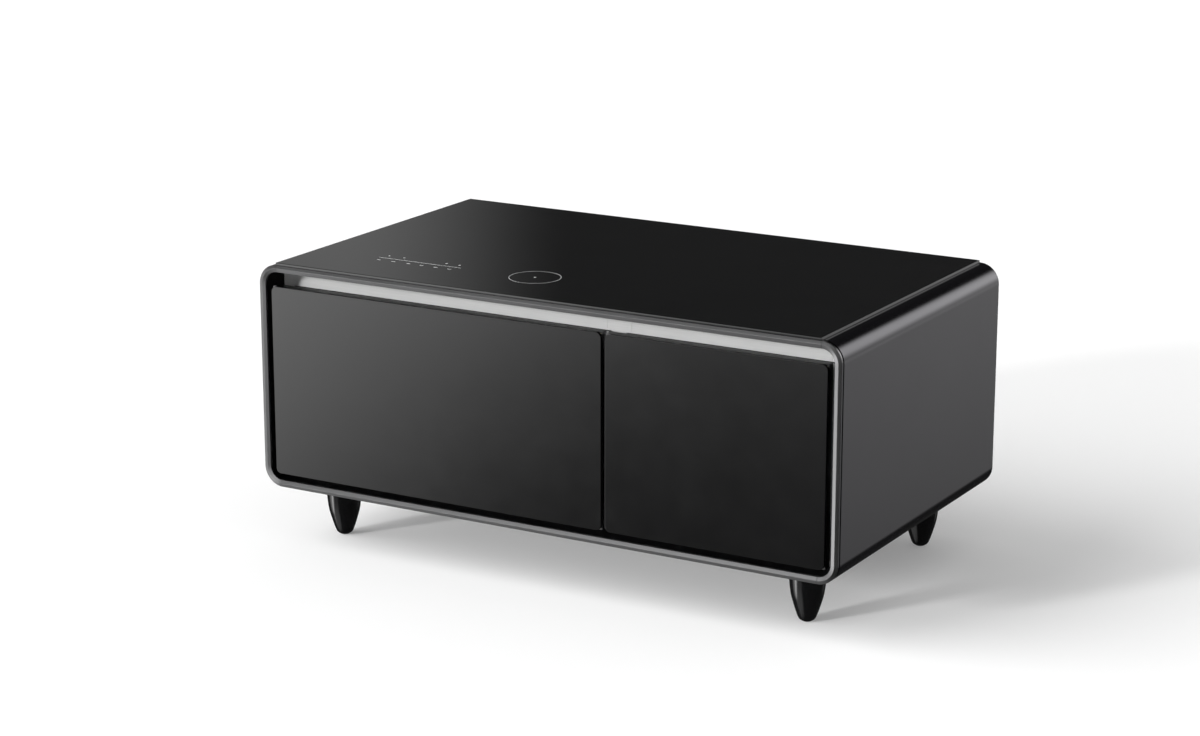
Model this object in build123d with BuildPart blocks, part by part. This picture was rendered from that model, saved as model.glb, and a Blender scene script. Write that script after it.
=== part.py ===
from build123d import *
import os

os.makedirs("parts", exist_ok=True)

# Refrigerated coffee table: a glass-topped cabinet on four turned legs, with a wide and a narrow
# refrigerated drawer at the front and a machine bay across the back.
# Millimetres. +X points right for somebody facing the drawers, +Y to the back and +Z up.
# The origin is on the floor under the middle of the table. A value named ..._depth is measured
# straight back from the front of the table.

# Overall sizes
table_length = 1000.0
table_depth = 565.0
table_height = 455.0
leg_height = 92.0
corner_radius = 32.0

# Wrapped outer shell
shell_wall = 1.5
shell_setback = 9.4
return_flange = 14.0
back_setback = 3.0
back_panel_wall = 1.2
panel_play = 0.4

# Glass top on its bedding strip
glass_thickness = 4.0
glass_bed_thickness = 0.5
glass_bed_width = 18.0
glass_bed_inset = 3.0
glass_front_inset = 0.8
glass_back_inset = 3.5
glass_bevel = 0.8

# Ridged metal frame round the front, and the dark groove behind it
frame_width = 11.2
frame_thickness = 5.5
frame_rise = 1.4
frame_crest = 5.2
groove_inset = 2.5

# Recess that the drawer fronts sit in
recess_depth = 51.0
recess_wall = 2.0
recess_corner = 4.0
face_plate_wall = 1.2

# Drawer fronts
side_reveal = 10.5
bottom_reveal = 10.2
finger_gap = 23.0
drawer_gap = 6.3
left_front_width = 590.4
front_setback = 1.4
front_glass_thickness = 5.0
front_glass_corner = 9.0
front_glass_bevel = 0.8
trim_thickness = 12.6
trim_wall = 2.5
trim_flange = 1.5
trim_corner = 1.5
trim_lap = 4.0

# Insulated core and gasket behind each drawer front
core_side_step = 4.2
core_top_step = 8.0
core_bottom_step = 2.6
core_corner = 8.0
core_wall = 1.5
gasket_width = 11.0
gasket_thickness = 6.0
gasket_neck = 5.0
gasket_neck_thickness = 2.5
seal_clearance = 0.3
seal_land = 2.0

# Compartment liners
liner_wall = 1.5
liner_corner = 12.0
liner_flange = 8.0

# Drawer bins
bin_wall = 2.2
bin_corner = 14.0
bin_base_fillet = 6.0
bin_floor_space = 14.0
bin_head_space = 24.0
bin_rear_space = 12.0
bin_rim = 4.0
bin_rim_thickness = 2.5

# Telescopic slides: three nested channels at each side of each bin
rail_space = 13.2
rail_height = 46.0
rail_case_width = 11.0
rail_wall = 1.2
rail_lip = 3.8
rail_play = 0.35
rail_mouth_space = 8.0
rail_end_space = 12.0
rail_rise = 92.0

# Evaporator plates behind the liners
evaporator_wall = 1.2
evaporator_channel = 8.0
evaporator_channel_rise = 2.2
evaporator_side_space = 30.0
evaporator_pitch = 46.0
evaporator_turn = 22.0

# Machine bay at the back
insulation_behind = 26.0
bay_depth = 122.4
bay_wall = 1.2
bay_floor_length = 720.0
bay_floor_raise = 3.0

# Legs
leg_side_inset = 89.0
leg_front_inset = 89.0
leg_back_inset = 71.0
leg_top_radius = 29.5
leg_shoulder_radius = 25.9
leg_shoulder_height = 50.0
leg_calf_radius = 21.5
leg_calf_height = 30.0
leg_toe_radius = 13.6
leg_toe_height = 6.5
leg_sole_radius = 8.0
leg_pad_radius = 6.5
leg_pad_thickness = 2.5
leg_pad_proud = 0.8
leg_plate_side = 80.0
leg_plate_thickness = 3.0
leg_plate_corner = 6.0
stud_radius = 4.0
stud_play = 0.05
stud_bore_depth = 26.0
stud_nut_width = 13.0
stud_nut_height = 6.5
stud_end = 2.0

# Touch panel and wireless charger under the glass
touch_side_inset = 225.0
touch_depth = 112.0
touch_board_length = 170.0
touch_board_width = 44.0
board_thickness = 1.6
charger_side_inset = 431.0
charger_depth = 116.0
charger_radius = 44.0
charger_thickness = 6.0
charger_hole_radius = 8.0
tray_margin = 8.0
tray_wall = 2.0
tray_depth = 18.0
tray_corner = 5.0
tray_post_radius = 4.0
under_glass_gap = 0.3

# Power inlet
inlet_side_inset = 90.0
inlet_rise = 60.0
inlet_width = 27.0
inlet_height = 20.0
inlet_length = 24.0
inlet_play = 0.3
inlet_flange_width = 50.0
inlet_flange_height = 24.0
inlet_flange_thickness = 2.2
inlet_corner = 3.0
inlet_recess_width = 22.0
inlet_recess_height = 15.0
inlet_recess_length = 17.0
inlet_pin_width = 2.0
inlet_pin_height = 4.0
inlet_pin_length = 13.0
inlet_pin_spread = 7.0
inlet_earth_rise = 2.2

# Vents and screws of the back panel
vent_slot_length = 84.0
vent_slot_width = 5.0
vent_rows = 11
vent_pitch = 13.0
vent_column_pitch = 104.0
vent_columns = 2
screw_head_radius = 4.0
screw_head_height = 2.0
screw_shank_radius = 1.9
screw_hole_play = 0.2
screw_shank_length = 6.0
screw_columns = 6
screw_side_inset = 40.0

# Compressor
compressor_x = 235.0
compressor_length = 150.0
compressor_width = 104.0
compressor_height = 138.0
compressor_top_fillet = 30.0
compressor_base_fillet = 12.0
compressor_seam_height = 62.0
compressor_seam_rim = 2.5
compressor_seam_thickness = 4.0
compressor_foot_length = 190.0
compressor_foot_width = 84.0
compressor_foot_thickness = 2.5
compressor_foot_corner = 10.0
grommet_radius = 9.0
grommet_neck_radius = 6.0
grommet_height = 12.0
grommet_play = 0.3
grommet_cap = 3.0
grommet_inset = 12.0
stub_radius = 4.5
stub_height = 90.0
stub_offset = 30.0
starter_width = 34.0
starter_depth = 52.0
starter_height = 62.0
starter_bite = 8.0
starter_play = 0.3
starter_corner = 4.0
drip_tray_length = 190.0
drip_tray_width = 96.0
drip_tray_height = 24.0
drip_tray_wall = 1.8
drip_tray_corner = 12.0
drip_tray_play = 0.3

# Condenser coil
condenser_x = -210.0
condenser_length = 240.0
condenser_thickness = 24.0
condenser_height = 176.0
condenser_fins = 10
fin_thickness = 1.0
end_plate_thickness = 1.6
end_plate_foot = 12.0
coil_passes = 4
coil_pitch = 40.0
coil_radius = 4.0
coil_overrun = 14.0
coil_bend_radius = 12.0

# Condenser fan
fan_duct_radius = 66.0
fan_duct_wall = 2.0
fan_duct_length = 20.0
shroud_wall = 2.0
shroud_skirt = 6.0
shroud_play = 0.3
fan_tip_play = 3.0
fan_hub_radius = 17.0
fan_hub_length = 15.0
fan_hub_skin = 3.0
fan_hub_play = 1.0
fan_blades = 7
blade_root_chord = 17.0
blade_tip_chord = 28.0
blade_thickness = 1.8
blade_root_pitch = 42.0
blade_tip_pitch = 24.0
fan_shaft_radius = 2.5
fan_shaft_play = 0.05
motor_radius = 19.0
motor_length = 26.0
motor_seat_radius = 23.0
motor_seat_thickness = 3.0
spoke_width = 8.0
spoke_count = 3

# Small parts of the refrigerant circuit and the control box
pipe_radius = 3.0
pipe_bend = 16.0
discharge_drop_x = 62.0
suction_turn_x = 116.0
capillary_radius = 1.5
capillary_turn_x = 98.0
drier_radius = 10.0
drier_space = 30.0
drier_length = 70.0
drier_neck = 12.0
drier_neck_radius = 4.5
drier_shoulder = 8.0
control_box_x = 20.0
control_box_length = 120.0
control_box_width = 56.0
control_box_height = 90.0
control_box_raise = 16.0
control_box_corner = 4.0

# Levels and planes worked out from the sizes above
front = -table_depth / 2
back = table_depth / 2
shell_top = table_height - glass_thickness - glass_bed_thickness
cabinet_height = shell_top - leg_height
cabinet_mid = (shell_top + leg_height) / 2
straight_half = table_length / 2 - corner_radius
inner_length = table_length - 2 * shell_wall
inner_height = cabinet_height - 2 * shell_wall
inner_corner = corner_radius - shell_wall
shell_floor = leg_height + shell_wall
shell_ceiling = shell_top - shell_wall

mouth_half = table_length / 2 - frame_width
mouth_bottom = leg_height + frame_width
mouth_top = shell_top - frame_width

front_bottom = mouth_bottom + bottom_reveal
front_top = mouth_top - finger_gap
front_left = -mouth_half + side_reveal
front_right = mouth_half - side_reveal
left_front_end = front_left + left_front_width
right_front_start = left_front_end + drawer_gap
trim_front_depth = front_setback + front_glass_thickness
trim_back_depth = trim_front_depth + trim_thickness
core_back_depth = recess_depth - seal_clearance - gasket_thickness
core_bottom = front_bottom + core_bottom_step
core_top = front_top - core_top_step
opening_bottom = core_bottom + gasket_width + seal_land
opening_top = core_top - gasket_width - seal_land
opening_side_step = core_side_step + gasket_width + seal_land

face_back_depth = recess_depth + face_plate_wall
panel_back_depth = table_depth - back_setback
panel_seat_depth = panel_back_depth - back_panel_wall
bay_end_depth = panel_seat_depth - shell_wall
bay_start_depth = bay_end_depth - bay_depth
bulkhead_depth = bay_start_depth - bay_wall
liner_back_depth = bulkhead_depth - insulation_behind - liner_wall
liner_length = liner_back_depth - face_back_depth
bay_floor = shell_floor + bay_floor_raise + bay_wall
bay_mid_depth = (bay_start_depth + bay_end_depth) / 2

fronts = {
    "left": (front_left, left_front_end),
    "right": (right_front_start, front_right),
}
openings = {
    side: (start + opening_side_step, end - opening_side_step)
    for side, (start, end) in fronts.items()
}
leg_points = {
    "front_left": (-table_length / 2 + leg_side_inset, front + leg_front_inset),
    "front_right": (table_length / 2 - leg_side_inset, front + leg_front_inset),
    "rear_left": (-table_length / 2 + leg_side_inset, back - leg_back_inset),
    "rear_right": (table_length / 2 - leg_side_inset, back - leg_back_inset),
}
stud_top = shell_floor + leg_plate_thickness + stud_nut_height + stud_end
stud_bottom = leg_height - stud_bore_depth


def at_depth(depth):
    """Upright plane that faces the front, a given depth behind the front of the table."""
    return Plane(origin=(0, front + depth, 0), x_dir=(1, 0, 0), z_dir=(0, -1, 0))


def bar(x_from, x_to, z_from, z_to, mode=Mode.ADD):
    """Draw the rectangle between two X and two Z values on an upright sketch."""
    with Locations(((x_from + x_to) / 2, (z_from + z_to) / 2)):
        Rectangle(abs(x_to - x_from), abs(z_to - z_from), mode=mode)


def rounded(x_from, x_to, z_from, z_to, radius, mode=Mode.ADD):
    """Draw the rectangle between two X and two Z values with rounded corners."""
    with Locations(((x_from + x_to) / 2, (z_from + z_to) / 2)):
        RectangleRounded(x_to - x_from, z_to - z_from, radius, mode=mode)


def save(piece, name):
    """Label a finished piece and write its file."""
    piece.part.label = name
    export_step(piece.part, f"parts/{name}.step")


# Screws of the back panel sit on the return flange, in two rows and at the middle of each side.
flange_mid = shell_wall + return_flange / 2
screw_row = cabinet_height / 2 - flange_mid
screw_column = table_length / 2 - flange_mid
screw_span = table_length - 2 * corner_radius - 2 * screw_side_inset
screw_points = [
    (-screw_span / 2 + index * screw_span / (screw_columns - 1), cabinet_mid + row * screw_row)
    for index in range(screw_columns)
    for row in (-1, 1)
] + [(-screw_column, cabinet_mid), (screw_column, cabinet_mid)]

# Electronics tray, wide enough for the touch board and the charger side by side
touch_x = -table_length / 2 + touch_side_inset
charger_x = -table_length / 2 + charger_side_inset
tray_left = touch_x - touch_board_length / 2 - tray_margin
tray_right = charger_x + charger_radius + tray_margin
tray_length = tray_right - tray_left
tray_x = (tray_left + tray_right) / 2
tray_reach = charger_radius + tray_margin
tray_y = front + charger_depth
tray_bottom = shell_ceiling - tray_depth
under_glass = shell_top + glass_bed_thickness - under_glass_gap

# Outer shell: one sheet wrapped round the cabinet, with a return flange for the back panel
with BuildPart() as outer_shell:
    with BuildSketch(at_depth(table_depth)):
        with Locations((0, cabinet_mid)):
            RectangleRounded(table_length, cabinet_height, corner_radius)
            RectangleRounded(inner_length, inner_height, inner_corner, mode=Mode.SUBTRACT)
    extrude(amount=table_depth - shell_setback)
    with BuildSketch(at_depth(panel_seat_depth)):
        with Locations((0, cabinet_mid)):
            RectangleRounded(inner_length, inner_height, inner_corner)
            RectangleRounded(
                inner_length - 2 * return_flange,
                inner_height - 2 * return_flange,
                inner_corner - return_flange,
                mode=Mode.SUBTRACT,
            )
    extrude(amount=shell_wall)
    with BuildSketch(Plane.XY.offset(shell_ceiling)):
        with Locations((tray_x, tray_y)):
            RectangleRounded(tray_length, 2 * tray_reach, tray_corner)
    extrude(amount=shell_wall, mode=Mode.SUBTRACT)
    with Locations([(x, y, leg_height) for x, y in leg_points.values()]):
        Cylinder(
            stud_radius + 2 * stud_play,
            shell_wall,
            align=(Align.CENTER, Align.CENTER, Align.MIN),
            mode=Mode.SUBTRACT,
        )
    with BuildSketch(at_depth(panel_seat_depth)):
        with Locations(screw_points):
            Circle(screw_shank_radius + screw_hole_play)
    extrude(amount=shell_wall, mode=Mode.SUBTRACT)
save(outer_shell, "outer_shell")


def frame_profile(edge, inward):
    """Draw the ridged profile from its outer edge, with inward +1 or -1 along the second axis."""
    Polyline(
        (front + frame_thickness, edge),
        (front + frame_rise, edge),
        (front, edge + inward * frame_crest),
        (front + frame_rise, edge + inward * frame_width),
        (front + frame_thickness, edge + inward * frame_width),
        close=True,
    )


# Front frame: straight rails between the corners, and a C-shaped piece at each end
cross_plane = Plane(origin=(-straight_half, 0, 0), x_dir=(0, 1, 0), z_dir=(1, 0, 0))
for name, edge, inward in (("top", shell_top, -1), ("bottom", leg_height, 1)):
    with BuildPart() as frame_rail:
        with BuildSketch(cross_plane):
            with BuildLine():
                frame_profile(edge, inward)
            make_face()
        extrude(amount=2 * straight_half)
    save(frame_rail, f"front_frame_{name}")

for name, side in (("left", -1), ("right", 1)):
    end_plane = Plane(origin=(side * straight_half, 0, 0), x_dir=(0, 1, 0), z_dir=(1, 0, 0))
    quarter_turn = -side * 90
    with BuildPart() as frame_end:
        with BuildLine(at_depth(0)) as end_path:
            upper_arc = JernArc((side * straight_half, shell_top), (side, 0), corner_radius, quarter_turn)
            upright = Line(upper_arc @ 1, upper_arc @ 1 - Vector(0, 0, cabinet_height - 2 * corner_radius))
            JernArc(upright @ 1, (0, -1), corner_radius, quarter_turn)
        with BuildSketch(end_plane):
            with BuildLine():
                frame_profile(shell_top, -1)
            make_face()
        sweep(path=end_path.wire())
    save(frame_end, f"front_frame_{name}")

# Recess surround: the bottom of the groove behind the frame, and the box behind the mouth
plate_bottom = mouth_bottom - recess_wall
plate_top = mouth_top + recess_wall
plate_half = mouth_half + recess_wall
plate_corner = recess_corner + recess_wall
with BuildPart() as recess_surround:
    with BuildSketch(at_depth(shell_setback)):
        with Locations((0, cabinet_mid)):
            RectangleRounded(
                table_length - 2 * groove_inset,
                cabinet_height - 2 * groove_inset,
                corner_radius - groove_inset,
            )
    extrude(amount=shell_setback - frame_thickness)
    with BuildSketch(at_depth(recess_depth)):
        rounded(-plate_half, plate_half, plate_bottom, plate_top, plate_corner)
    extrude(amount=recess_depth - shell_setback)
    with BuildSketch(at_depth(recess_depth)):
        rounded(-mouth_half, mouth_half, mouth_bottom, mouth_top, recess_corner)
    extrude(amount=recess_depth - frame_thickness, mode=Mode.SUBTRACT)
save(recess_surround, "recess_surround")

# Steel face plates round the two openings, which the gaskets close against
plates = {
    "face_stiles": [
        (-plate_half, openings["left"][0], plate_bottom, plate_top),
        (openings["right"][1], plate_half, plate_bottom, plate_top),
    ],
    "face_mullion": [(openings["left"][1], openings["right"][0], plate_bottom, plate_top)],
    "face_rail_left": [(*openings["left"], opening_top, plate_top)],
    "face_rail_right": [(*openings["right"], opening_top, plate_top)],
    "face_sills": [
        (*openings["left"], plate_bottom, opening_bottom),
        (*openings["right"], plate_bottom, opening_bottom),
    ],
}
for name, spans in plates.items():
    with BuildPart() as face_plate:
        with BuildSketch(at_depth(face_back_depth)):
            for span in spans:
                bar(*span)
            rounded(
                -plate_half, plate_half, plate_bottom, plate_top, plate_corner, mode=Mode.INTERSECT
            )
        extrude(amount=face_plate_wall)
    save(face_plate, name)

# Compartment liners: one-piece boxes with a flange behind the face plates
for side, (start, end) in openings.items():
    with BuildPart() as liner:
        with BuildSketch(at_depth(liner_back_depth + liner_wall)):
            rounded(
                start - liner_wall,
                end + liner_wall,
                opening_bottom - liner_wall,
                opening_top + liner_wall,
                liner_corner + liner_wall,
            )
        extrude(amount=liner_length + liner_wall)
        with BuildSketch(at_depth(face_back_depth + liner_wall)):
            rounded(
                start - liner_flange,
                end + liner_flange,
                opening_bottom - liner_flange,
                opening_top + liner_flange,
                liner_corner + liner_wall,
            )
        extrude(amount=liner_wall)
        with BuildSketch(at_depth(liner_back_depth)):
            rounded(start, end, opening_bottom, opening_top, liner_corner)
        extrude(amount=liner_length, mode=Mode.SUBTRACT)
    save(liner, f"liner_{side}")

# Evaporator plates: a sheet on the back of each liner with a winding channel pressed into it
evaporator_front_depth = liner_back_depth + liner_wall
evaporator_bottom = opening_bottom + evaporator_side_space
evaporator_top = opening_top - evaporator_side_space
with BuildPart() as evaporator_plates:
    for start, end in openings.values():
        plate_start = start + evaporator_side_space
        plate_end = end - evaporator_side_space
        with BuildSketch(at_depth(evaporator_front_depth + evaporator_wall)):
            rounded(plate_start, plate_end, evaporator_bottom, evaporator_top, liner_corner)
        extrude(amount=evaporator_wall)
        with BuildSketch(at_depth(evaporator_front_depth + evaporator_wall + evaporator_channel_rise)):
            turns = int((plate_end - plate_start - 2 * evaporator_turn) / evaporator_pitch)
            channel_points = []
            for index in range(turns + 1):
                column = plate_start + evaporator_turn + index * evaporator_pitch
                ends = [evaporator_bottom + evaporator_turn, evaporator_top - evaporator_turn]
                if index % 2:
                    ends.reverse()
                channel_points += [(column, end_level) for end_level in ends]
            with BuildLine():
                FilletPolyline(*channel_points, radius=evaporator_channel)
            trace(line_width=evaporator_channel)
        extrude(amount=evaporator_channel_rise)
save(evaporator_plates, "evaporator_plates")

# Leg plates and studs inside the cabinet floor
with BuildPart() as leg_plates:
    with BuildSketch(Plane.XY.offset(shell_floor)):
        with Locations(list(leg_points.values())):
            RectangleRounded(leg_plate_side, leg_plate_side, leg_plate_corner)
            Circle(stud_radius + stud_play, mode=Mode.SUBTRACT)
    extrude(amount=leg_plate_thickness)
save(leg_plates, "leg_plates")

with BuildPart() as leg_studs:
    with BuildSketch(Plane.XY.offset(stud_bottom)):
        with Locations(list(leg_points.values())):
            Circle(stud_radius)
    extrude(amount=stud_top - stud_bottom)
    with BuildSketch(Plane.XY.offset(shell_floor + leg_plate_thickness)):
        with Locations(list(leg_points.values())):
            RegularPolygon(stud_nut_width / 2, 6, major_radius=False)
    extrude(amount=stud_nut_height)
save(leg_studs, "leg_studs")

# Legs: turned, swelling quickly from a small sole, with a pad let into the sole
for name, (x, y) in leg_points.items():
    with BuildPart() as leg:
        with BuildSketch(Plane(origin=(x, y, 0), x_dir=(1, 0, 0), z_dir=(0, -1, 0))):
            with BuildLine():
                Line((0, leg_height), (0, leg_pad_proud))
                Line((0, leg_pad_proud), (leg_sole_radius, leg_pad_proud))
                Spline(
                    (leg_sole_radius, leg_pad_proud),
                    (leg_toe_radius, leg_toe_height),
                    (leg_calf_radius, leg_calf_height),
                    (leg_shoulder_radius, leg_shoulder_height),
                    (leg_top_radius, leg_height),
                )
                Line((leg_top_radius, leg_height), (0, leg_height))
            make_face()
        revolve(axis=Axis((x, y, 0), (0, 0, 1)))
        with Locations((x, y, leg_pad_proud)):
            Cylinder(
                leg_pad_radius,
                leg_pad_thickness - leg_pad_proud,
                align=(Align.CENTER, Align.CENTER, Align.MIN),
                mode=Mode.SUBTRACT,
            )
        with Locations((x, y, stud_bottom)):
            Cylinder(
                stud_radius + stud_play,
                stud_bore_depth,
                align=(Align.CENTER, Align.CENTER, Align.MIN),
                mode=Mode.SUBTRACT,
            )
    save(leg, f"leg_{name}")

with BuildPart() as leg_pads:
    with BuildSketch(Plane.XY):
        with Locations(list(leg_points.values())):
            Circle(leg_pad_radius)
    extrude(amount=leg_pad_thickness)
save(leg_pads, "leg_pads")

# Glass top and the bedding strip that lifts it off the shell
glass_front = front + glass_front_inset
glass_back = back - glass_back_inset
glass_y = (glass_front + glass_back) / 2
glass_width = glass_back - glass_front
with BuildPart() as top_glass:
    with BuildSketch(Plane.XY.offset(shell_top + glass_bed_thickness)):
        with Locations((0, glass_y)):
            Rectangle(2 * straight_half, glass_width)
    extrude(amount=glass_thickness)
    chamfer(top_glass.edges().group_by(Axis.Z)[-1], length=glass_bevel)
save(top_glass, "top_glass")

with BuildPart() as glass_bed:
    with BuildSketch(Plane.XY.offset(shell_top)):
        with Locations((0, (front + shell_setback + glass_back - glass_bed_inset) / 2)):
            bed_width = glass_back - glass_bed_inset - front - shell_setback
            bed_length = 2 * (straight_half - glass_bed_inset)
            Rectangle(bed_length, bed_width)
            Rectangle(
                bed_length - 2 * glass_bed_width,
                bed_width - 2 * glass_bed_width,
                mode=Mode.SUBTRACT,
            )
    extrude(amount=glass_bed_thickness)
save(glass_bed, "glass_bed")

# Electronics tray under the shell, with posts for the touch board and a ring for the charger
post_x = touch_board_length / 2 - tray_margin
post_y = touch_board_width / 2 - tray_margin
board_bottom = under_glass - board_thickness
charger_bottom = under_glass - charger_thickness
tray_floor = tray_bottom + tray_wall
touch_y = front + touch_depth
with BuildPart() as electronics_tray:
    with BuildSketch(Plane.XY.offset(tray_bottom)):
        with Locations((tray_x, tray_y)):
            RectangleRounded(
                tray_length + 2 * tray_wall, 2 * tray_reach + 2 * tray_wall, tray_corner + tray_wall
            )
    extrude(amount=tray_depth)
    with BuildSketch(Plane.XY.offset(tray_floor)):
        with Locations((tray_x, tray_y)):
            RectangleRounded(tray_length, 2 * tray_reach, tray_corner)
    extrude(amount=tray_depth, mode=Mode.SUBTRACT)
    with BuildSketch(Plane.XY.offset(tray_bottom)):
        with Locations((touch_x, touch_y)):
            with GridLocations(2 * post_x, 2 * post_y, 2, 2):
                Circle(tray_post_radius)
    extrude(amount=board_bottom - tray_bottom)
    with BuildSketch(Plane.XY.offset(tray_bottom)):
        with Locations((charger_x, tray_y)):
            Circle(charger_radius - tray_margin)
            Circle(charger_radius - tray_margin - tray_wall, mode=Mode.SUBTRACT)
    extrude(amount=charger_bottom - tray_bottom)
save(electronics_tray, "electronics_tray")

with BuildPart() as touch_board:
    with BuildSketch(Plane.XY.offset(board_bottom)):
        with Locations((touch_x, touch_y)):
            Rectangle(touch_board_length, touch_board_width)
    extrude(amount=board_thickness)
save(touch_board, "touch_board")

with BuildPart() as charger_coil:
    with BuildSketch(Plane.XY.offset(charger_bottom)):
        with Locations((charger_x, tray_y)):
            Circle(charger_radius)
            Circle(charger_hole_radius, mode=Mode.SUBTRACT)
    extrude(amount=charger_thickness)
    chamfer(charger_coil.edges().group_by(Axis.Z)[-1], length=board_thickness / 2)
save(charger_coil, "charger_coil")

# Foam between the shell and everything that it surrounds, as far back as the machine bay
evaporator_back_depth = evaporator_front_depth + evaporator_wall + evaporator_channel_rise
with BuildPart() as foam_insulation:
    with BuildSketch(at_depth(bulkhead_depth)):
        with Locations((0, cabinet_mid)):
            RectangleRounded(inner_length, inner_height, inner_corner)
    extrude(amount=bulkhead_depth - shell_setback)
    with BuildSketch(at_depth(face_back_depth)):
        rounded(-plate_half, plate_half, plate_bottom, plate_top, plate_corner)
    extrude(amount=face_back_depth - shell_setback, mode=Mode.SUBTRACT)
    for start, end in openings.values():
        with BuildSketch(at_depth(face_back_depth + liner_wall)):
            rounded(
                start - liner_flange,
                end + liner_flange,
                opening_bottom - liner_flange,
                opening_top + liner_flange,
                liner_corner + liner_wall,
            )
        extrude(amount=liner_wall, mode=Mode.SUBTRACT)
        with BuildSketch(at_depth(liner_back_depth + liner_wall)):
            rounded(
                start - liner_wall,
                end + liner_wall,
                opening_bottom - liner_wall,
                opening_top + liner_wall,
                liner_corner + liner_wall,
            )
        extrude(amount=liner_length + liner_wall, mode=Mode.SUBTRACT)
        with BuildSketch(at_depth(evaporator_back_depth)):
            rounded(
                start + evaporator_side_space,
                end - evaporator_side_space,
                evaporator_bottom,
                evaporator_top,
                liner_corner,
            )
        extrude(amount=evaporator_back_depth - evaporator_front_depth, mode=Mode.SUBTRACT)
    with BuildSketch(Plane.XY.offset(tray_bottom)):
        with Locations((tray_x, tray_y)):
            RectangleRounded(
                tray_length + 2 * tray_wall, 2 * tray_reach + 2 * tray_wall, tray_corner + tray_wall
            )
    extrude(amount=tray_depth, mode=Mode.SUBTRACT)
    for name in ("front_left", "front_right"):
        x, y = leg_points[name]
        with BuildSketch(Plane.XY.offset(shell_floor)):
            with Locations((x, y)):
                RectangleRounded(leg_plate_side, leg_plate_side, leg_plate_corner)
        extrude(amount=leg_plate_thickness, mode=Mode.SUBTRACT)
        with BuildSketch(Plane.XY.offset(shell_floor)):
            with Locations((x, y)):
                Circle(stud_nut_width)
        extrude(amount=stud_top - shell_floor, mode=Mode.SUBTRACT)
save(foam_insulation, "foam_insulation")

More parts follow.
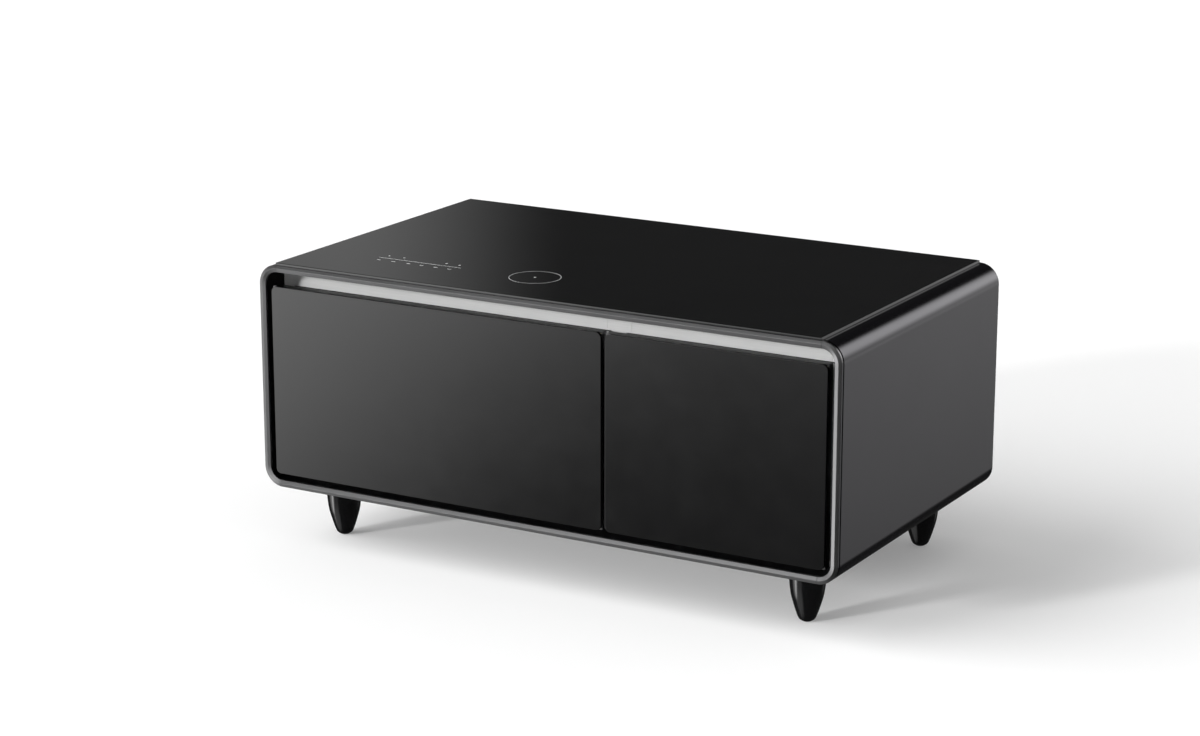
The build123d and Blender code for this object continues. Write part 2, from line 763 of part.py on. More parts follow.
# Drawer fronts, cores, gaskets and bins
for side, (start, end) in fronts.items():
    core = (start + core_side_step, end - core_side_step, core_bottom, core_top)
    core_inset = (
        core[0] + core_wall,
        core[1] - core_wall,
        core_bottom + core_wall,
        core_top - core_wall,
    )
    lap = (core[0] + trim_lap, core[1] - trim_lap, core_bottom + trim_lap, core_top - trim_lap)
    inside_trim = (
        start + trim_wall,
        end - trim_wall,
        front_bottom + trim_wall,
        front_top - trim_wall,
    )

    with BuildPart() as front_glass:
        with BuildSketch(at_depth(trim_front_depth)):
            rounded(start, end, front_bottom, front_top, front_glass_corner)
        extrude(amount=front_glass_thickness)
        chamfer(front_glass.edges().group_by(Axis.Y)[0], length=front_glass_bevel)
    save(front_glass, f"{side}_drawer_glass")

    with BuildPart() as front_trim:
        with BuildSketch(at_depth(trim_back_depth)):
            rounded(start, end, front_bottom, front_top, trim_corner)
        extrude(amount=trim_thickness)
        with BuildSketch(at_depth(trim_back_depth - trim_flange)):
            bar(*inside_trim)
        extrude(amount=trim_thickness - trim_flange, mode=Mode.SUBTRACT)
        with BuildSketch(at_depth(trim_back_depth)):
            rounded(*lap, core_corner)
        extrude(amount=trim_flange, mode=Mode.SUBTRACT)
    save(front_trim, f"{side}_drawer_trim")

    with BuildPart() as inner_panel:
        with BuildSketch(at_depth(core_back_depth)):
            rounded(*core, core_corner)
        extrude(amount=core_back_depth - trim_back_depth)
        with BuildSketch(at_depth(core_back_depth - core_wall)):
            rounded(*core_inset, core_corner - core_wall)
        extrude(amount=core_back_depth - core_wall - trim_back_depth, mode=Mode.SUBTRACT)
    save(inner_panel, f"{side}_drawer_inner_panel")

    with BuildPart() as front_foam:
        with BuildSketch(at_depth(trim_back_depth - trim_flange)):
            bar(*inside_trim)
        extrude(amount=trim_thickness - trim_flange)
        with BuildSketch(at_depth(trim_back_depth)):
            rounded(*lap, core_corner)
        extrude(amount=trim_flange)
        with BuildSketch(at_depth(core_back_depth - core_wall)):
            rounded(*core_inset, core_corner - core_wall)
        extrude(amount=core_back_depth - core_wall - trim_back_depth)
    save(front_foam, f"{side}_drawer_foam")

    neck_inset = (gasket_width - gasket_neck) / 2
    with BuildPart() as gasket:
        with BuildSketch(at_depth(recess_depth - seal_clearance)):
            rounded(*core, core_corner)
        extrude(amount=gasket_thickness - gasket_neck_thickness)
        with BuildSketch(at_depth(core_back_depth + gasket_neck_thickness)):
            rounded(
                core[0] + neck_inset,
                core[1] - neck_inset,
                core_bottom + neck_inset,
                core_top - neck_inset,
                core_corner - neck_inset,
            )
        extrude(amount=gasket_neck_thickness)
        with BuildSketch(at_depth(recess_depth - seal_clearance)):
            bar(
                core[0] + gasket_width,
                core[1] - gasket_width,
                core_bottom + gasket_width,
                core_top - gasket_width,
            )
        extrude(amount=gasket_thickness - gasket_neck_thickness, mode=Mode.SUBTRACT)
        with BuildSketch(at_depth(core_back_depth + gasket_neck_thickness)):
            bar(
                core[0] + neck_inset + gasket_neck,
                core[1] - neck_inset - gasket_neck,
                core_bottom + neck_inset + gasket_neck,
                core_top - neck_inset - gasket_neck,
            )
        extrude(amount=gasket_neck_thickness, mode=Mode.SUBTRACT)
    save(gasket, f"{side}_drawer_gasket")

    bin_start = openings[side][0] + rail_space
    bin_end = openings[side][1] - rail_space
    bin_x = (bin_start + bin_end) / 2
    bin_bottom = opening_bottom + bin_floor_space
    bin_top = opening_top - bin_head_space
    bin_front = front + core_back_depth
    bin_back = front + liner_back_depth - bin_rear_space
    bin_y = (bin_front + bin_back) / 2
    bin_length = bin_back - bin_front
    with BuildPart() as drawer_bin:
        with BuildSketch(Plane.XY.offset(bin_bottom)):
            with Locations((bin_x, bin_y)):
                RectangleRounded(bin_end - bin_start, bin_length, bin_corner)
        extrude(amount=bin_top - bin_bottom)
        fillet(drawer_bin.edges().group_by(Axis.Z)[0], radius=bin_base_fillet)
        with BuildSketch(Plane.XY.offset(bin_top - bin_rim_thickness)):
            with Locations((bin_x, bin_y + bin_rim / 2)):
                RectangleRounded(
                    bin_end - bin_start + 2 * bin_rim, bin_length + bin_rim, bin_corner + bin_rim
                )
        extrude(amount=bin_rim_thickness)
        with BuildSketch(Plane.XY.offset(bin_bottom + bin_wall)):
            with Locations((bin_x, bin_y)):
                RectangleRounded(
                    bin_end - bin_start - 2 * bin_wall,
                    bin_length - 2 * bin_wall,
                    bin_corner - bin_wall,
                )
        extrude(amount=bin_top - bin_bottom, mode=Mode.SUBTRACT)
    save(drawer_bin, f"{side}_drawer_bin")

# Slides: a fixed channel on the liner, a middle channel inside it and a hat rail on the bin
rail_mid = opening_bottom + bin_floor_space + rail_rise
rail_back_depth = liner_back_depth - rail_end_space
rail_length = rail_back_depth - rail_mouth_space - face_back_depth
step = rail_wall + rail_play
case_half = rail_height / 2
middle_half = case_half - step
hook_half = middle_half - step
hat_half = middle_half - rail_lip - rail_play


def slide_walls(side):
    """The two walls that carry one drawer, each with the direction towards the bin."""
    start, end = openings[side]
    return ((start, 1), (end, -1))


def rail_bars(wall, way, spans):
    """Draw bars given by their distance from the wall and from the rail's mid height."""
    for near, far, low, high in spans:
        bar(wall + way * near, wall + way * far, rail_mid + low, rail_mid + high)
        bar(wall + way * near, wall + way * far, rail_mid - high, rail_mid - low)


for side in fronts:
    sections = {
        "outer_rails": [
            (0, rail_wall, 0, case_half),
            (0, rail_case_width, case_half - rail_wall, case_half),
            (rail_case_width - rail_wall, rail_case_width, case_half - rail_lip, case_half),
        ],
        "middle_rails": [
            (step, step + rail_wall, 0, middle_half),
            (step, rail_case_width - step, middle_half - rail_wall, middle_half),
            (
                rail_case_width - step - rail_wall,
                rail_case_width - step,
                middle_half - rail_lip,
                middle_half,
            ),
        ],
        "inner_rails": [
            (2 * step, 2 * step + rail_wall, hat_half - rail_wall, hook_half),
            (2 * step, rail_space, hat_half - rail_wall, hat_half),
            (rail_space - rail_wall, rail_space, 0, hat_half),
        ],
    }
    for name, spans in sections.items():
        with BuildPart() as slide:
            with BuildSketch(at_depth(rail_back_depth)):
                for wall, way in slide_walls(side):
                    rail_bars(wall, way, spans)
            extrude(amount=rail_length)
        save(slide, f"{side}_{name}")

# Back panel with its vents, cut-out for the power inlet and screw holes
vent_groups = (condenser_x, compressor_x)
inlet_x = -table_length / 2 + inlet_side_inset
inlet_z = shell_floor + inlet_rise
with BuildPart() as back_panel:
    with BuildSketch(at_depth(panel_back_depth)):
        with Locations((0, cabinet_mid)):
            RectangleRounded(
                inner_length - 2 * panel_play,
                inner_height - 2 * panel_play,
                inner_corner - panel_play,
            )
        with Locations(screw_points):
            Circle(screw_shank_radius + screw_hole_play, mode=Mode.SUBTRACT)
        with Locations([(x, cabinet_mid) for x in vent_groups]):
            with GridLocations(vent_column_pitch, vent_pitch, vent_columns, vent_rows):
                SlotOverall(vent_slot_length, vent_slot_width, mode=Mode.SUBTRACT)
        with Locations((inlet_x, inlet_z)):
            Rectangle(
                inlet_width + 2 * inlet_play, inlet_height + 2 * inlet_play, mode=Mode.SUBTRACT
            )
    extrude(amount=back_panel_wall)
save(back_panel, "back_panel")

with BuildPart() as back_panel_screws:
    with BuildSketch(at_depth(panel_back_depth + screw_head_height)):
        with Locations(screw_points):
            Circle(screw_head_radius)
    extrude(amount=screw_head_height)
    with BuildSketch(at_depth(panel_back_depth)):
        with Locations(screw_points):
            Circle(screw_shank_radius)
    extrude(amount=screw_shank_length)
save(back_panel_screws, "back_panel_screws")

# Power inlet: a flanged socket with three blades at the bottom of its recess
inlet_mouth_depth = panel_back_depth + inlet_flange_thickness
pin_base_depth = inlet_mouth_depth - inlet_recess_length
with BuildPart() as power_inlet:
    with BuildSketch(at_depth(panel_back_depth)):
        with Locations((inlet_x, inlet_z)):
            Rectangle(inlet_width, inlet_height)
    extrude(amount=inlet_length)
    with BuildSketch(at_depth(inlet_mouth_depth)):
        with Locations((inlet_x, inlet_z)):
            RectangleRounded(inlet_flange_width, inlet_flange_height, inlet_corner)
    extrude(amount=inlet_flange_thickness)
    with BuildSketch(at_depth(inlet_mouth_depth)):
        with Locations((inlet_x, inlet_z)):
            RectangleRounded(inlet_recess_width, inlet_recess_height, inlet_corner)
    extrude(amount=inlet_recess_length, mode=Mode.SUBTRACT)
    with BuildSketch(at_depth(pin_base_depth + inlet_pin_length)):
        with Locations(
            (inlet_x - inlet_pin_spread, inlet_z - inlet_earth_rise),
            (inlet_x + inlet_pin_spread, inlet_z - inlet_earth_rise),
            (inlet_x, inlet_z + inlet_earth_rise),
        ):
            Rectangle(inlet_pin_width, inlet_pin_height)
    extrude(amount=inlet_pin_length)
save(power_inlet, "power_inlet")

# Machine bay: a bulkhead across the back of the foam, bent into a raised floor on two joggles
floor_half = bay_floor_length / 2
with BuildPart() as machine_bay:
    with BuildSketch(at_depth(bay_start_depth)):
        with Locations((0, cabinet_mid)):
            RectangleRounded(inner_length, inner_height, inner_corner)
    extrude(amount=bay_wall)
    with BuildSketch(at_depth(bay_end_depth)):
        bar(-floor_half, floor_half, bay_floor - bay_wall, bay_floor)
        bar(-floor_half, -floor_half + bay_wall, shell_floor, bay_floor)
        bar(floor_half - bay_wall, floor_half, shell_floor, bay_floor)
    extrude(amount=bay_end_depth - bay_start_depth)
save(machine_bay, "machine_bay")

# Compressor on four rubber grommets
foot_level = bay_floor + grommet_height
can_bottom = foot_level + compressor_foot_thickness
bay_mid = front + bay_mid_depth
stub_x = compressor_x - compressor_length / 2
stub_level = can_bottom + stub_height
grommet_points = [
    (
        compressor_x + along * (compressor_foot_length / 2 - grommet_inset),
        bay_mid + across * (compressor_foot_width / 2 - grommet_inset),
    )
    for along in (-1, 1)
    for across in (-1, 1)
]
with BuildPart() as compressor:
    with BuildSketch(Plane.XY.offset(can_bottom)):
        with Locations((compressor_x, bay_mid)):
            Ellipse(compressor_length / 2, compressor_width / 2)
    extrude(amount=compressor_height)
    fillet(compressor.edges().group_by(Axis.Z)[-1], radius=compressor_top_fillet)
    fillet(compressor.edges().group_by(Axis.Z)[0], radius=compressor_base_fillet)
    with BuildSketch(Plane.XY.offset(can_bottom + compressor_seam_height)):
        with Locations((compressor_x, bay_mid)):
            Ellipse(
                compressor_length / 2 + compressor_seam_rim,
                compressor_width / 2 + compressor_seam_rim,
            )
    extrude(amount=compressor_seam_thickness)
    with BuildSketch(Plane.XY.offset(foot_level)):
        with Locations((compressor_x, bay_mid)):
            RectangleRounded(compressor_foot_length, compressor_foot_width, compressor_foot_corner)
        with Locations(grommet_points):
            Circle(grommet_neck_radius + grommet_play, mode=Mode.SUBTRACT)
    extrude(amount=compressor_foot_thickness)
    with BuildSketch(Plane.YZ.offset(stub_x)):
        with Locations((bay_mid - stub_offset, stub_level), (bay_mid + stub_offset, stub_level)):
            Circle(stub_radius)
    extrude(amount=compressor_length / 2)
save(compressor, "compressor")

with BuildPart() as compressor_grommets:
    with BuildSketch(Plane.XY.offset(bay_floor)):
        with Locations(grommet_points):
            Circle(grommet_radius)
    extrude(amount=grommet_height)
    with BuildSketch(Plane.XY.offset(foot_level)):
        with Locations(grommet_points):
            Circle(grommet_neck_radius)
    extrude(amount=compressor_foot_thickness)
    with BuildSketch(Plane.XY.offset(can_bottom)):
        with Locations(grommet_points):
            Circle(grommet_radius)
    extrude(amount=grommet_cap)
save(compressor_grommets, "compressor_grommets")

# Starter cover clipped to the end of the compressor
can_end = compressor_x + compressor_length / 2
starter_bottom = can_bottom + compressor_seam_height + compressor_seam_thickness + starter_play
with BuildPart() as starter_box:
    with BuildSketch(Plane.XY.offset(starter_bottom)):
        with Locations((can_end + starter_width / 2 - starter_bite, bay_mid)):
            RectangleRounded(starter_width, starter_depth, starter_corner)
        with Locations((compressor_x, bay_mid)):
            Ellipse(
                compressor_length / 2 + starter_play,
                compressor_width / 2 + starter_play,
                mode=Mode.SUBTRACT,
            )
    extrude(amount=starter_height)
save(starter_box, "starter_box")

# Drip tray on top of the compressor, where its warmth dries the melt water
drip_bottom = can_bottom + compressor_height + drip_tray_play
with BuildPart() as drip_tray:
    with BuildSketch(Plane.XY.offset(drip_bottom)):
        with Locations((compressor_x, bay_mid)):
            RectangleRounded(drip_tray_length, drip_tray_width, drip_tray_corner)
    extrude(amount=drip_tray_height)
    with BuildSketch(Plane.XY.offset(drip_bottom + drip_tray_wall)):
        with Locations((compressor_x, bay_mid)):
            RectangleRounded(
                drip_tray_length - 2 * drip_tray_wall,
                drip_tray_width - 2 * drip_tray_wall,
                drip_tray_corner - drip_tray_wall,
            )
    extrude(amount=drip_tray_height, mode=Mode.SUBTRACT)
save(drip_tray, "drip_tray")

# Condenser: one winding tube through a stack of fins, between two end plates that stand on the bay
condenser_mid_depth = bay_mid_depth + stub_offset
condenser_front_depth = condenser_mid_depth - condenser_thickness / 2
condenser_back_depth = condenser_mid_depth + condenser_thickness / 2
condenser_base = bay_floor + end_plate_foot
condenser_mid = condenser_base + condenser_height / 2
condenser_top = condenser_base + condenser_height
coil_half = condenser_length / 2 + coil_overrun
coil_end = condenser_x + coil_half
coil_levels = [
    condenser_mid + (index - (coil_passes - 1) / 2) * coil_pitch for index in range(coil_passes)
]
coil_points = []
for index, level in enumerate(coil_levels):
    ends = [coil_end, condenser_x - coil_half]
    if index % 2:
        ends.reverse()
    coil_points += [(end_x, level) for end_x in ends]
with BuildPart() as condenser:
    with BuildLine(at_depth(condenser_mid_depth)) as coil_path:
        FilletPolyline(*coil_points, radius=coil_bend_radius)
    with BuildSketch(
        Plane(
            origin=(coil_end, front + condenser_mid_depth, coil_levels[0]),
            z_dir=(-1, 0, 0),
        )
    ):
        Circle(coil_radius)
    sweep(path=coil_path.wire())
    fin_pitch = condenser_length / (condenser_fins + 1)
    for index in range(condenser_fins + 2):
        end = index in (0, condenser_fins + 1)
        thickness = end_plate_thickness if end else fin_thickness
        low = bay_floor if end else condenser_base
        fin_x = condenser_x - condenser_length / 2 + index * fin_pitch
        with BuildSketch(at_depth(condenser_back_depth)):
            bar(fin_x - thickness / 2, fin_x + thickness / 2, low, condenser_top)
        extrude(amount=condenser_thickness)
save(condenser, "condenser")

# Fan shroud: a plate in front of the condenser with a duct, spokes and a seat for the motor
shroud_back_depth = condenser_front_depth - shroud_play
shroud_plate_depth = shroud_back_depth - shroud_skirt
duct_back_depth = shroud_plate_depth
duct_front_depth = duct_back_depth - fan_duct_length
seat_front_depth = duct_front_depth - motor_seat_thickness
shroud_half = condenser_length / 2
shroud_bottom = bay_floor
fan_mid = condenser_mid
with BuildPart() as fan_shroud:
    with BuildSketch(at_depth(shroud_back_depth)):
        bar(condenser_x - shroud_half, condenser_x + shroud_half, shroud_bottom, condenser_top)
        bar(
            condenser_x - shroud_half + shroud_wall,
            condenser_x + shroud_half - shroud_wall,
            shroud_bottom + shroud_wall,
            condenser_top - shroud_wall,
            mode=Mode.SUBTRACT,
        )
    extrude(amount=shroud_skirt)
    with BuildSketch(at_depth(shroud_plate_depth)):
        bar(condenser_x - shroud_half, condenser_x + shroud_half, shroud_bottom, condenser_top)
    extrude(amount=shroud_wall)
    with BuildSketch(at_depth(duct_back_depth)):
        with Locations((condenser_x, fan_mid)):
            Circle(fan_duct_radius + fan_duct_wall)
    extrude(amount=fan_duct_length)
    with BuildSketch(at_depth(duct_back_depth)):
        with Locations((condenser_x, fan_mid)):
            Circle(fan_duct_radius)
    extrude(amount=fan_duct_length, mode=Mode.SUBTRACT)
    with BuildSketch(at_depth(duct_front_depth)):
        with Locations((condenser_x, fan_mid)):
            Circle(motor_seat_radius)
            Circle(fan_duct_radius + fan_duct_wall)
            Circle(fan_duct_radius, mode=Mode.SUBTRACT)
            with PolarLocations((fan_duct_radius + motor_seat_radius) / 2, spoke_count, start_angle=90):
                Rectangle(fan_duct_radius - motor_seat_radius + 2 * fan_duct_wall, spoke_width)
            Circle(motor_seat_radius)
            Circle(2 * fan_shaft_radius, mode=Mode.SUBTRACT)
    extrude(amount=motor_seat_thickness)
save(fan_shroud, "fan_shroud")

# Fan motor with its shaft through the seat
hub_front_depth = duct_front_depth + fan_hub_play
hub_back_depth = hub_front_depth + fan_hub_length
shaft_end_depth = hub_back_depth - fan_hub_skin
with BuildPart() as fan_motor:
    with BuildSketch(at_depth(seat_front_depth)):
        with Locations((condenser_x, fan_mid)):
            Circle(motor_radius)
    extrude(amount=motor_length)
    with BuildSketch(at_depth(shaft_end_depth)):
        with Locations((condenser_x, fan_mid)):
            Circle(fan_shaft_radius)
    extrude(amount=shaft_end_depth - seat_front_depth)
save(fan_motor, "fan_motor")

# Fan rotor: blades that lose pitch towards their tips, fused to a hub that runs on the shaft
fan_tip_radius = fan_duct_radius - fan_tip_play
blade_depth = (hub_front_depth + hub_back_depth) / 2
fan_centre = Vector(condenser_x, front + blade_depth, fan_mid)
with BuildPart() as fan_rotor:
    for index in range(fan_blades):
        outward = Vector(0, 0, 1).rotate(Axis.Y, index * 360 / fan_blades)
        for_root = Plane(fan_centre + outward * (fan_hub_radius - fan_hub_skin), (0, 1, 0), outward)
        for_tip = Plane(fan_centre + outward * fan_tip_radius, (0, 1, 0), outward)
        with BuildSketch(for_root):
            Rectangle(blade_root_chord, blade_thickness, rotation=90 - blade_root_pitch)
        with BuildSketch(for_tip):
            Rectangle(blade_tip_chord, blade_thickness, rotation=90 - blade_tip_pitch)
        loft()
    with BuildSketch(at_depth(hub_back_depth)):
        with Locations((condenser_x, fan_mid)):
            Circle(fan_hub_radius)
    extrude(amount=fan_hub_length)
    with BuildSketch(at_depth(shaft_end_depth)):
        with Locations((condenser_x, fan_mid)):
            Circle(fan_shaft_radius + fan_shaft_play)
    extrude(amount=shaft_end_depth - hub_front_depth, mode=Mode.SUBTRACT)
save(fan_rotor, "fan_rotor")

# Control box screwed to the bulkhead between the fan and the compressor
control_bottom = bay_floor + control_box_raise
with BuildPart() as control_box:
    with BuildSketch(at_depth(bay_start_depth + control_box_width)):
        rounded(
            control_box_x - control_box_length / 2,
            control_box_x + control_box_length / 2,
            control_bottom,
            control_bottom + control_box_height,
            control_box_corner,
        )
    extrude(amount=control_box_width)
save(control_box, "control_box")

# Filter drier in line with the foot of the condenser coil
drier_start = coil_end + drier_space
drier_end = drier_start + drier_length
drier_level = coil_levels[0]
coil_y = front + condenser_mid_depth
with BuildPart() as filter_drier:
    with BuildSketch(at_depth(condenser_mid_depth)):
        with BuildLine():
            Polyline(
                (drier_start, drier_level),
                (drier_start, drier_level + drier_neck_radius),
                (drier_start + drier_neck, drier_level + drier_neck_radius),
                (drier_start + drier_neck + drier_shoulder, drier_level + drier_radius),
                (drier_end - drier_neck - drier_shoulder, drier_level + drier_radius),
                (drier_end - drier_neck, drier_level + drier_neck_radius),
                (drier_end, drier_level + drier_neck_radius),
                (drier_end, drier_level),
                close=True,
            )
        make_face()
    revolve(axis=Axis((drier_start, coil_y, drier_level), (1, 0, 0)))
save(filter_drier, "filter_drier")

# Pipes: compressor to coil, coil to drier, drier to bulkhead, and bulkhead back to the compressor
coil_top = coil_levels[-1]
bulkhead_y = front + bay_start_depth
with BuildPart() as refrigerant_pipes:
    with BuildLine(at_depth(condenser_mid_depth)) as discharge_path:
        FilletPolyline(
            (coil_end, coil_top),
            (discharge_drop_x, coil_top),
            (discharge_drop_x, stub_level),
            (stub_x, stub_level),
            radius=pipe_bend,
        )
    with BuildSketch(Plane.YZ.offset(coil_end)):
        with Locations((coil_y, coil_top)):
            Circle(pipe_radius)
    sweep(path=discharge_path.wire())
    with BuildSketch(Plane.YZ.offset(coil_end)):
        with Locations((coil_y, drier_level)):
            Circle(pipe_radius)
    extrude(amount=drier_space)
    with BuildLine(Plane.XY.offset(drier_level)) as capillary_path:
        FilletPolyline(
            (drier_end, coil_y),
            (capillary_turn_x, coil_y),
            (capillary_turn_x, bulkhead_y),
            radius=pipe_bend,
        )
    with BuildSketch(Plane.YZ.offset(drier_end)):
        with Locations((coil_y, drier_level)):
            Circle(capillary_radius)
    sweep(path=capillary_path.wire())
    with BuildLine(Plane.XY.offset(stub_level)) as suction_path:
        FilletPolyline(
            (stub_x, bay_mid - stub_offset),
            (suction_turn_x, bay_mid - stub_offset),
            (suction_turn_x, bulkhead_y),
            radius=pipe_bend,
        )
    with BuildSketch(Plane(origin=(stub_x, bay_mid - stub_offset, stub_level), z_dir=(-1, 0, 0))):
        Circle(pipe_radius)
    sweep(path=suction_path.wire())
save(refrigerant_pipes, "refrigerant_pipes")
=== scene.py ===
"""Looks of the refrigerated coffee table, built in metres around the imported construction."""

import logging
import math
from dataclasses import dataclass
from enum import Enum
from typing import Any, Sequence

import bmesh
import bpy
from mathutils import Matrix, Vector

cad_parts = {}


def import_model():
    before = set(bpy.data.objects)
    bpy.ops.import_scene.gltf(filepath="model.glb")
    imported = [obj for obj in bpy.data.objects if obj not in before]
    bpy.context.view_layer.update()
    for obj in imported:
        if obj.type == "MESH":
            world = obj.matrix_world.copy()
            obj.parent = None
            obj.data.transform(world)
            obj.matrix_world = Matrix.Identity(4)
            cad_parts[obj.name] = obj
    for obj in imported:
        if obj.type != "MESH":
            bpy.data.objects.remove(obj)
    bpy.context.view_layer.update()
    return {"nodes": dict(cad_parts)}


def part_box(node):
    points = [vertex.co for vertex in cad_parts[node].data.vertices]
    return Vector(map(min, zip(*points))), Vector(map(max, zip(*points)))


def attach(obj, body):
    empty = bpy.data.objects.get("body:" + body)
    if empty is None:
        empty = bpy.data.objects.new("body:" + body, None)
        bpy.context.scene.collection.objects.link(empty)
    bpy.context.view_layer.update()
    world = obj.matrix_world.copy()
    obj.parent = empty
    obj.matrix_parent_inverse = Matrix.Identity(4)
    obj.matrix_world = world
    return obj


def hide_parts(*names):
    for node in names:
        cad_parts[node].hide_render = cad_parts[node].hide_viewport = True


LOG = logging.getLogger("coffee_table")
MM = 0.001
SHARP = 0.0
WELD = 0.001 * MM
ARC_STEPS = 12
FILLET_STEPS = 6
CIRCLE_STEPS = 128
FINE_EDGE = 0.12 * MM
PLATE_EDGE = 0.25 * MM
SHEET_EDGE = 0.3 * MM
ARRIS_LIMIT = 25.0
EDGE_LIMIT = 33.0
FACET_LIMIT = 50.0
BRUSH_STRETCH = 0.012
NOISE_DETAIL = 3.0
BROAD_SHARE = 0.6
BLEND_RANGE = (0.5, 1.1)
WEAR_TOP = 0.5
ARRIS_SHARE = 0.27
EASE_SHARE = 0.3
QUARTER_TURN = math.radians(90)

Colour = tuple[float, float, float]
Loop = list[Vector]
Outline = tuple[tuple[float, float], ...]
Socket = bpy.types.NodeSocket
Node = bpy.types.Node
Tree = bpy.types.NodeTree
Material = bpy.types.Material
Mesh = bpy.types.Mesh
Piece = bpy.types.Object
Nodes = dict[str, Piece]


class Side(Enum):
    """Which of the two drawers a piece belongs to."""

    LEFT = "left"
    RIGHT = "right"


class Facing(Enum):
    """How the width, height and depth of an outline lie in the row frame."""

    FRONT = "front"
    TOP = "top"

    def point(self, across: float, along: float, depth: float) -> Vector:
        """Turn outline measures into a point of the row frame.

        Args:
            across: measure along X.
            along: measure along Z on a front outline, or along Y on a top one.
            depth: measure along Y on a front outline, or along Z on a top one.

        Returns:
            The point in metres.
        """
        if self is Facing.FRONT:
            return Vector((across, depth, along))
        return Vector((across, along, depth))


class Grain(Enum):
    """Kind of fine relief on a surface."""

    PEEL = "peel"
    BRUSHED_X = "brushed_x"
    BRUSHED_Y = "brushed_y"
    BRUSHED_Z = "brushed_z"
    SPANGLE = "spangle"
    CELLS = "cells"

    def stretch(self) -> Colour:
        """Give how much slower the pattern runs along X, Y and Z.

        Returns:
            A factor for each axis, 1 where the pattern isn't drawn out.
        """
        brushed = {
            Grain.BRUSHED_X: (BRUSH_STRETCH, 1.0, 1.0),
            Grain.BRUSHED_Y: (1.0, BRUSH_STRETCH, 1.0),
            Grain.BRUSHED_Z: (1.0, 1.0, BRUSH_STRETCH),
        }
        return brushed.get(self, (1.0, 1.0, 1.0))


def add_node(tree: Tree, kind: str, inputs: dict[str | int, Any], **settings: Any) -> Node:
    """Add a node to a tree.

    Args:
        tree: the node tree.
        kind: the node's type.
        inputs: a value to set or a socket to link for each input, by its name or number.
        settings: the node's own settings.

    Returns:
        The node.
    """
    node = tree.nodes.new(kind)
    for setting, value in settings.items():
        setattr(node, setting, value)
    for socket, value in inputs.items():
        if isinstance(value, Socket):
            tree.links.new(value, node.inputs[socket])
        else:
            node.inputs[socket].default_value = value
    return node


def add_math(tree: Tree, operation: str, *values: Any) -> Socket:
    """Add one step of arithmetic on numbers or sockets, and give its result."""
    node = add_node(tree, "ShaderNodeMath", dict(enumerate(values)), operation=operation)
    return node.outputs["Value"]


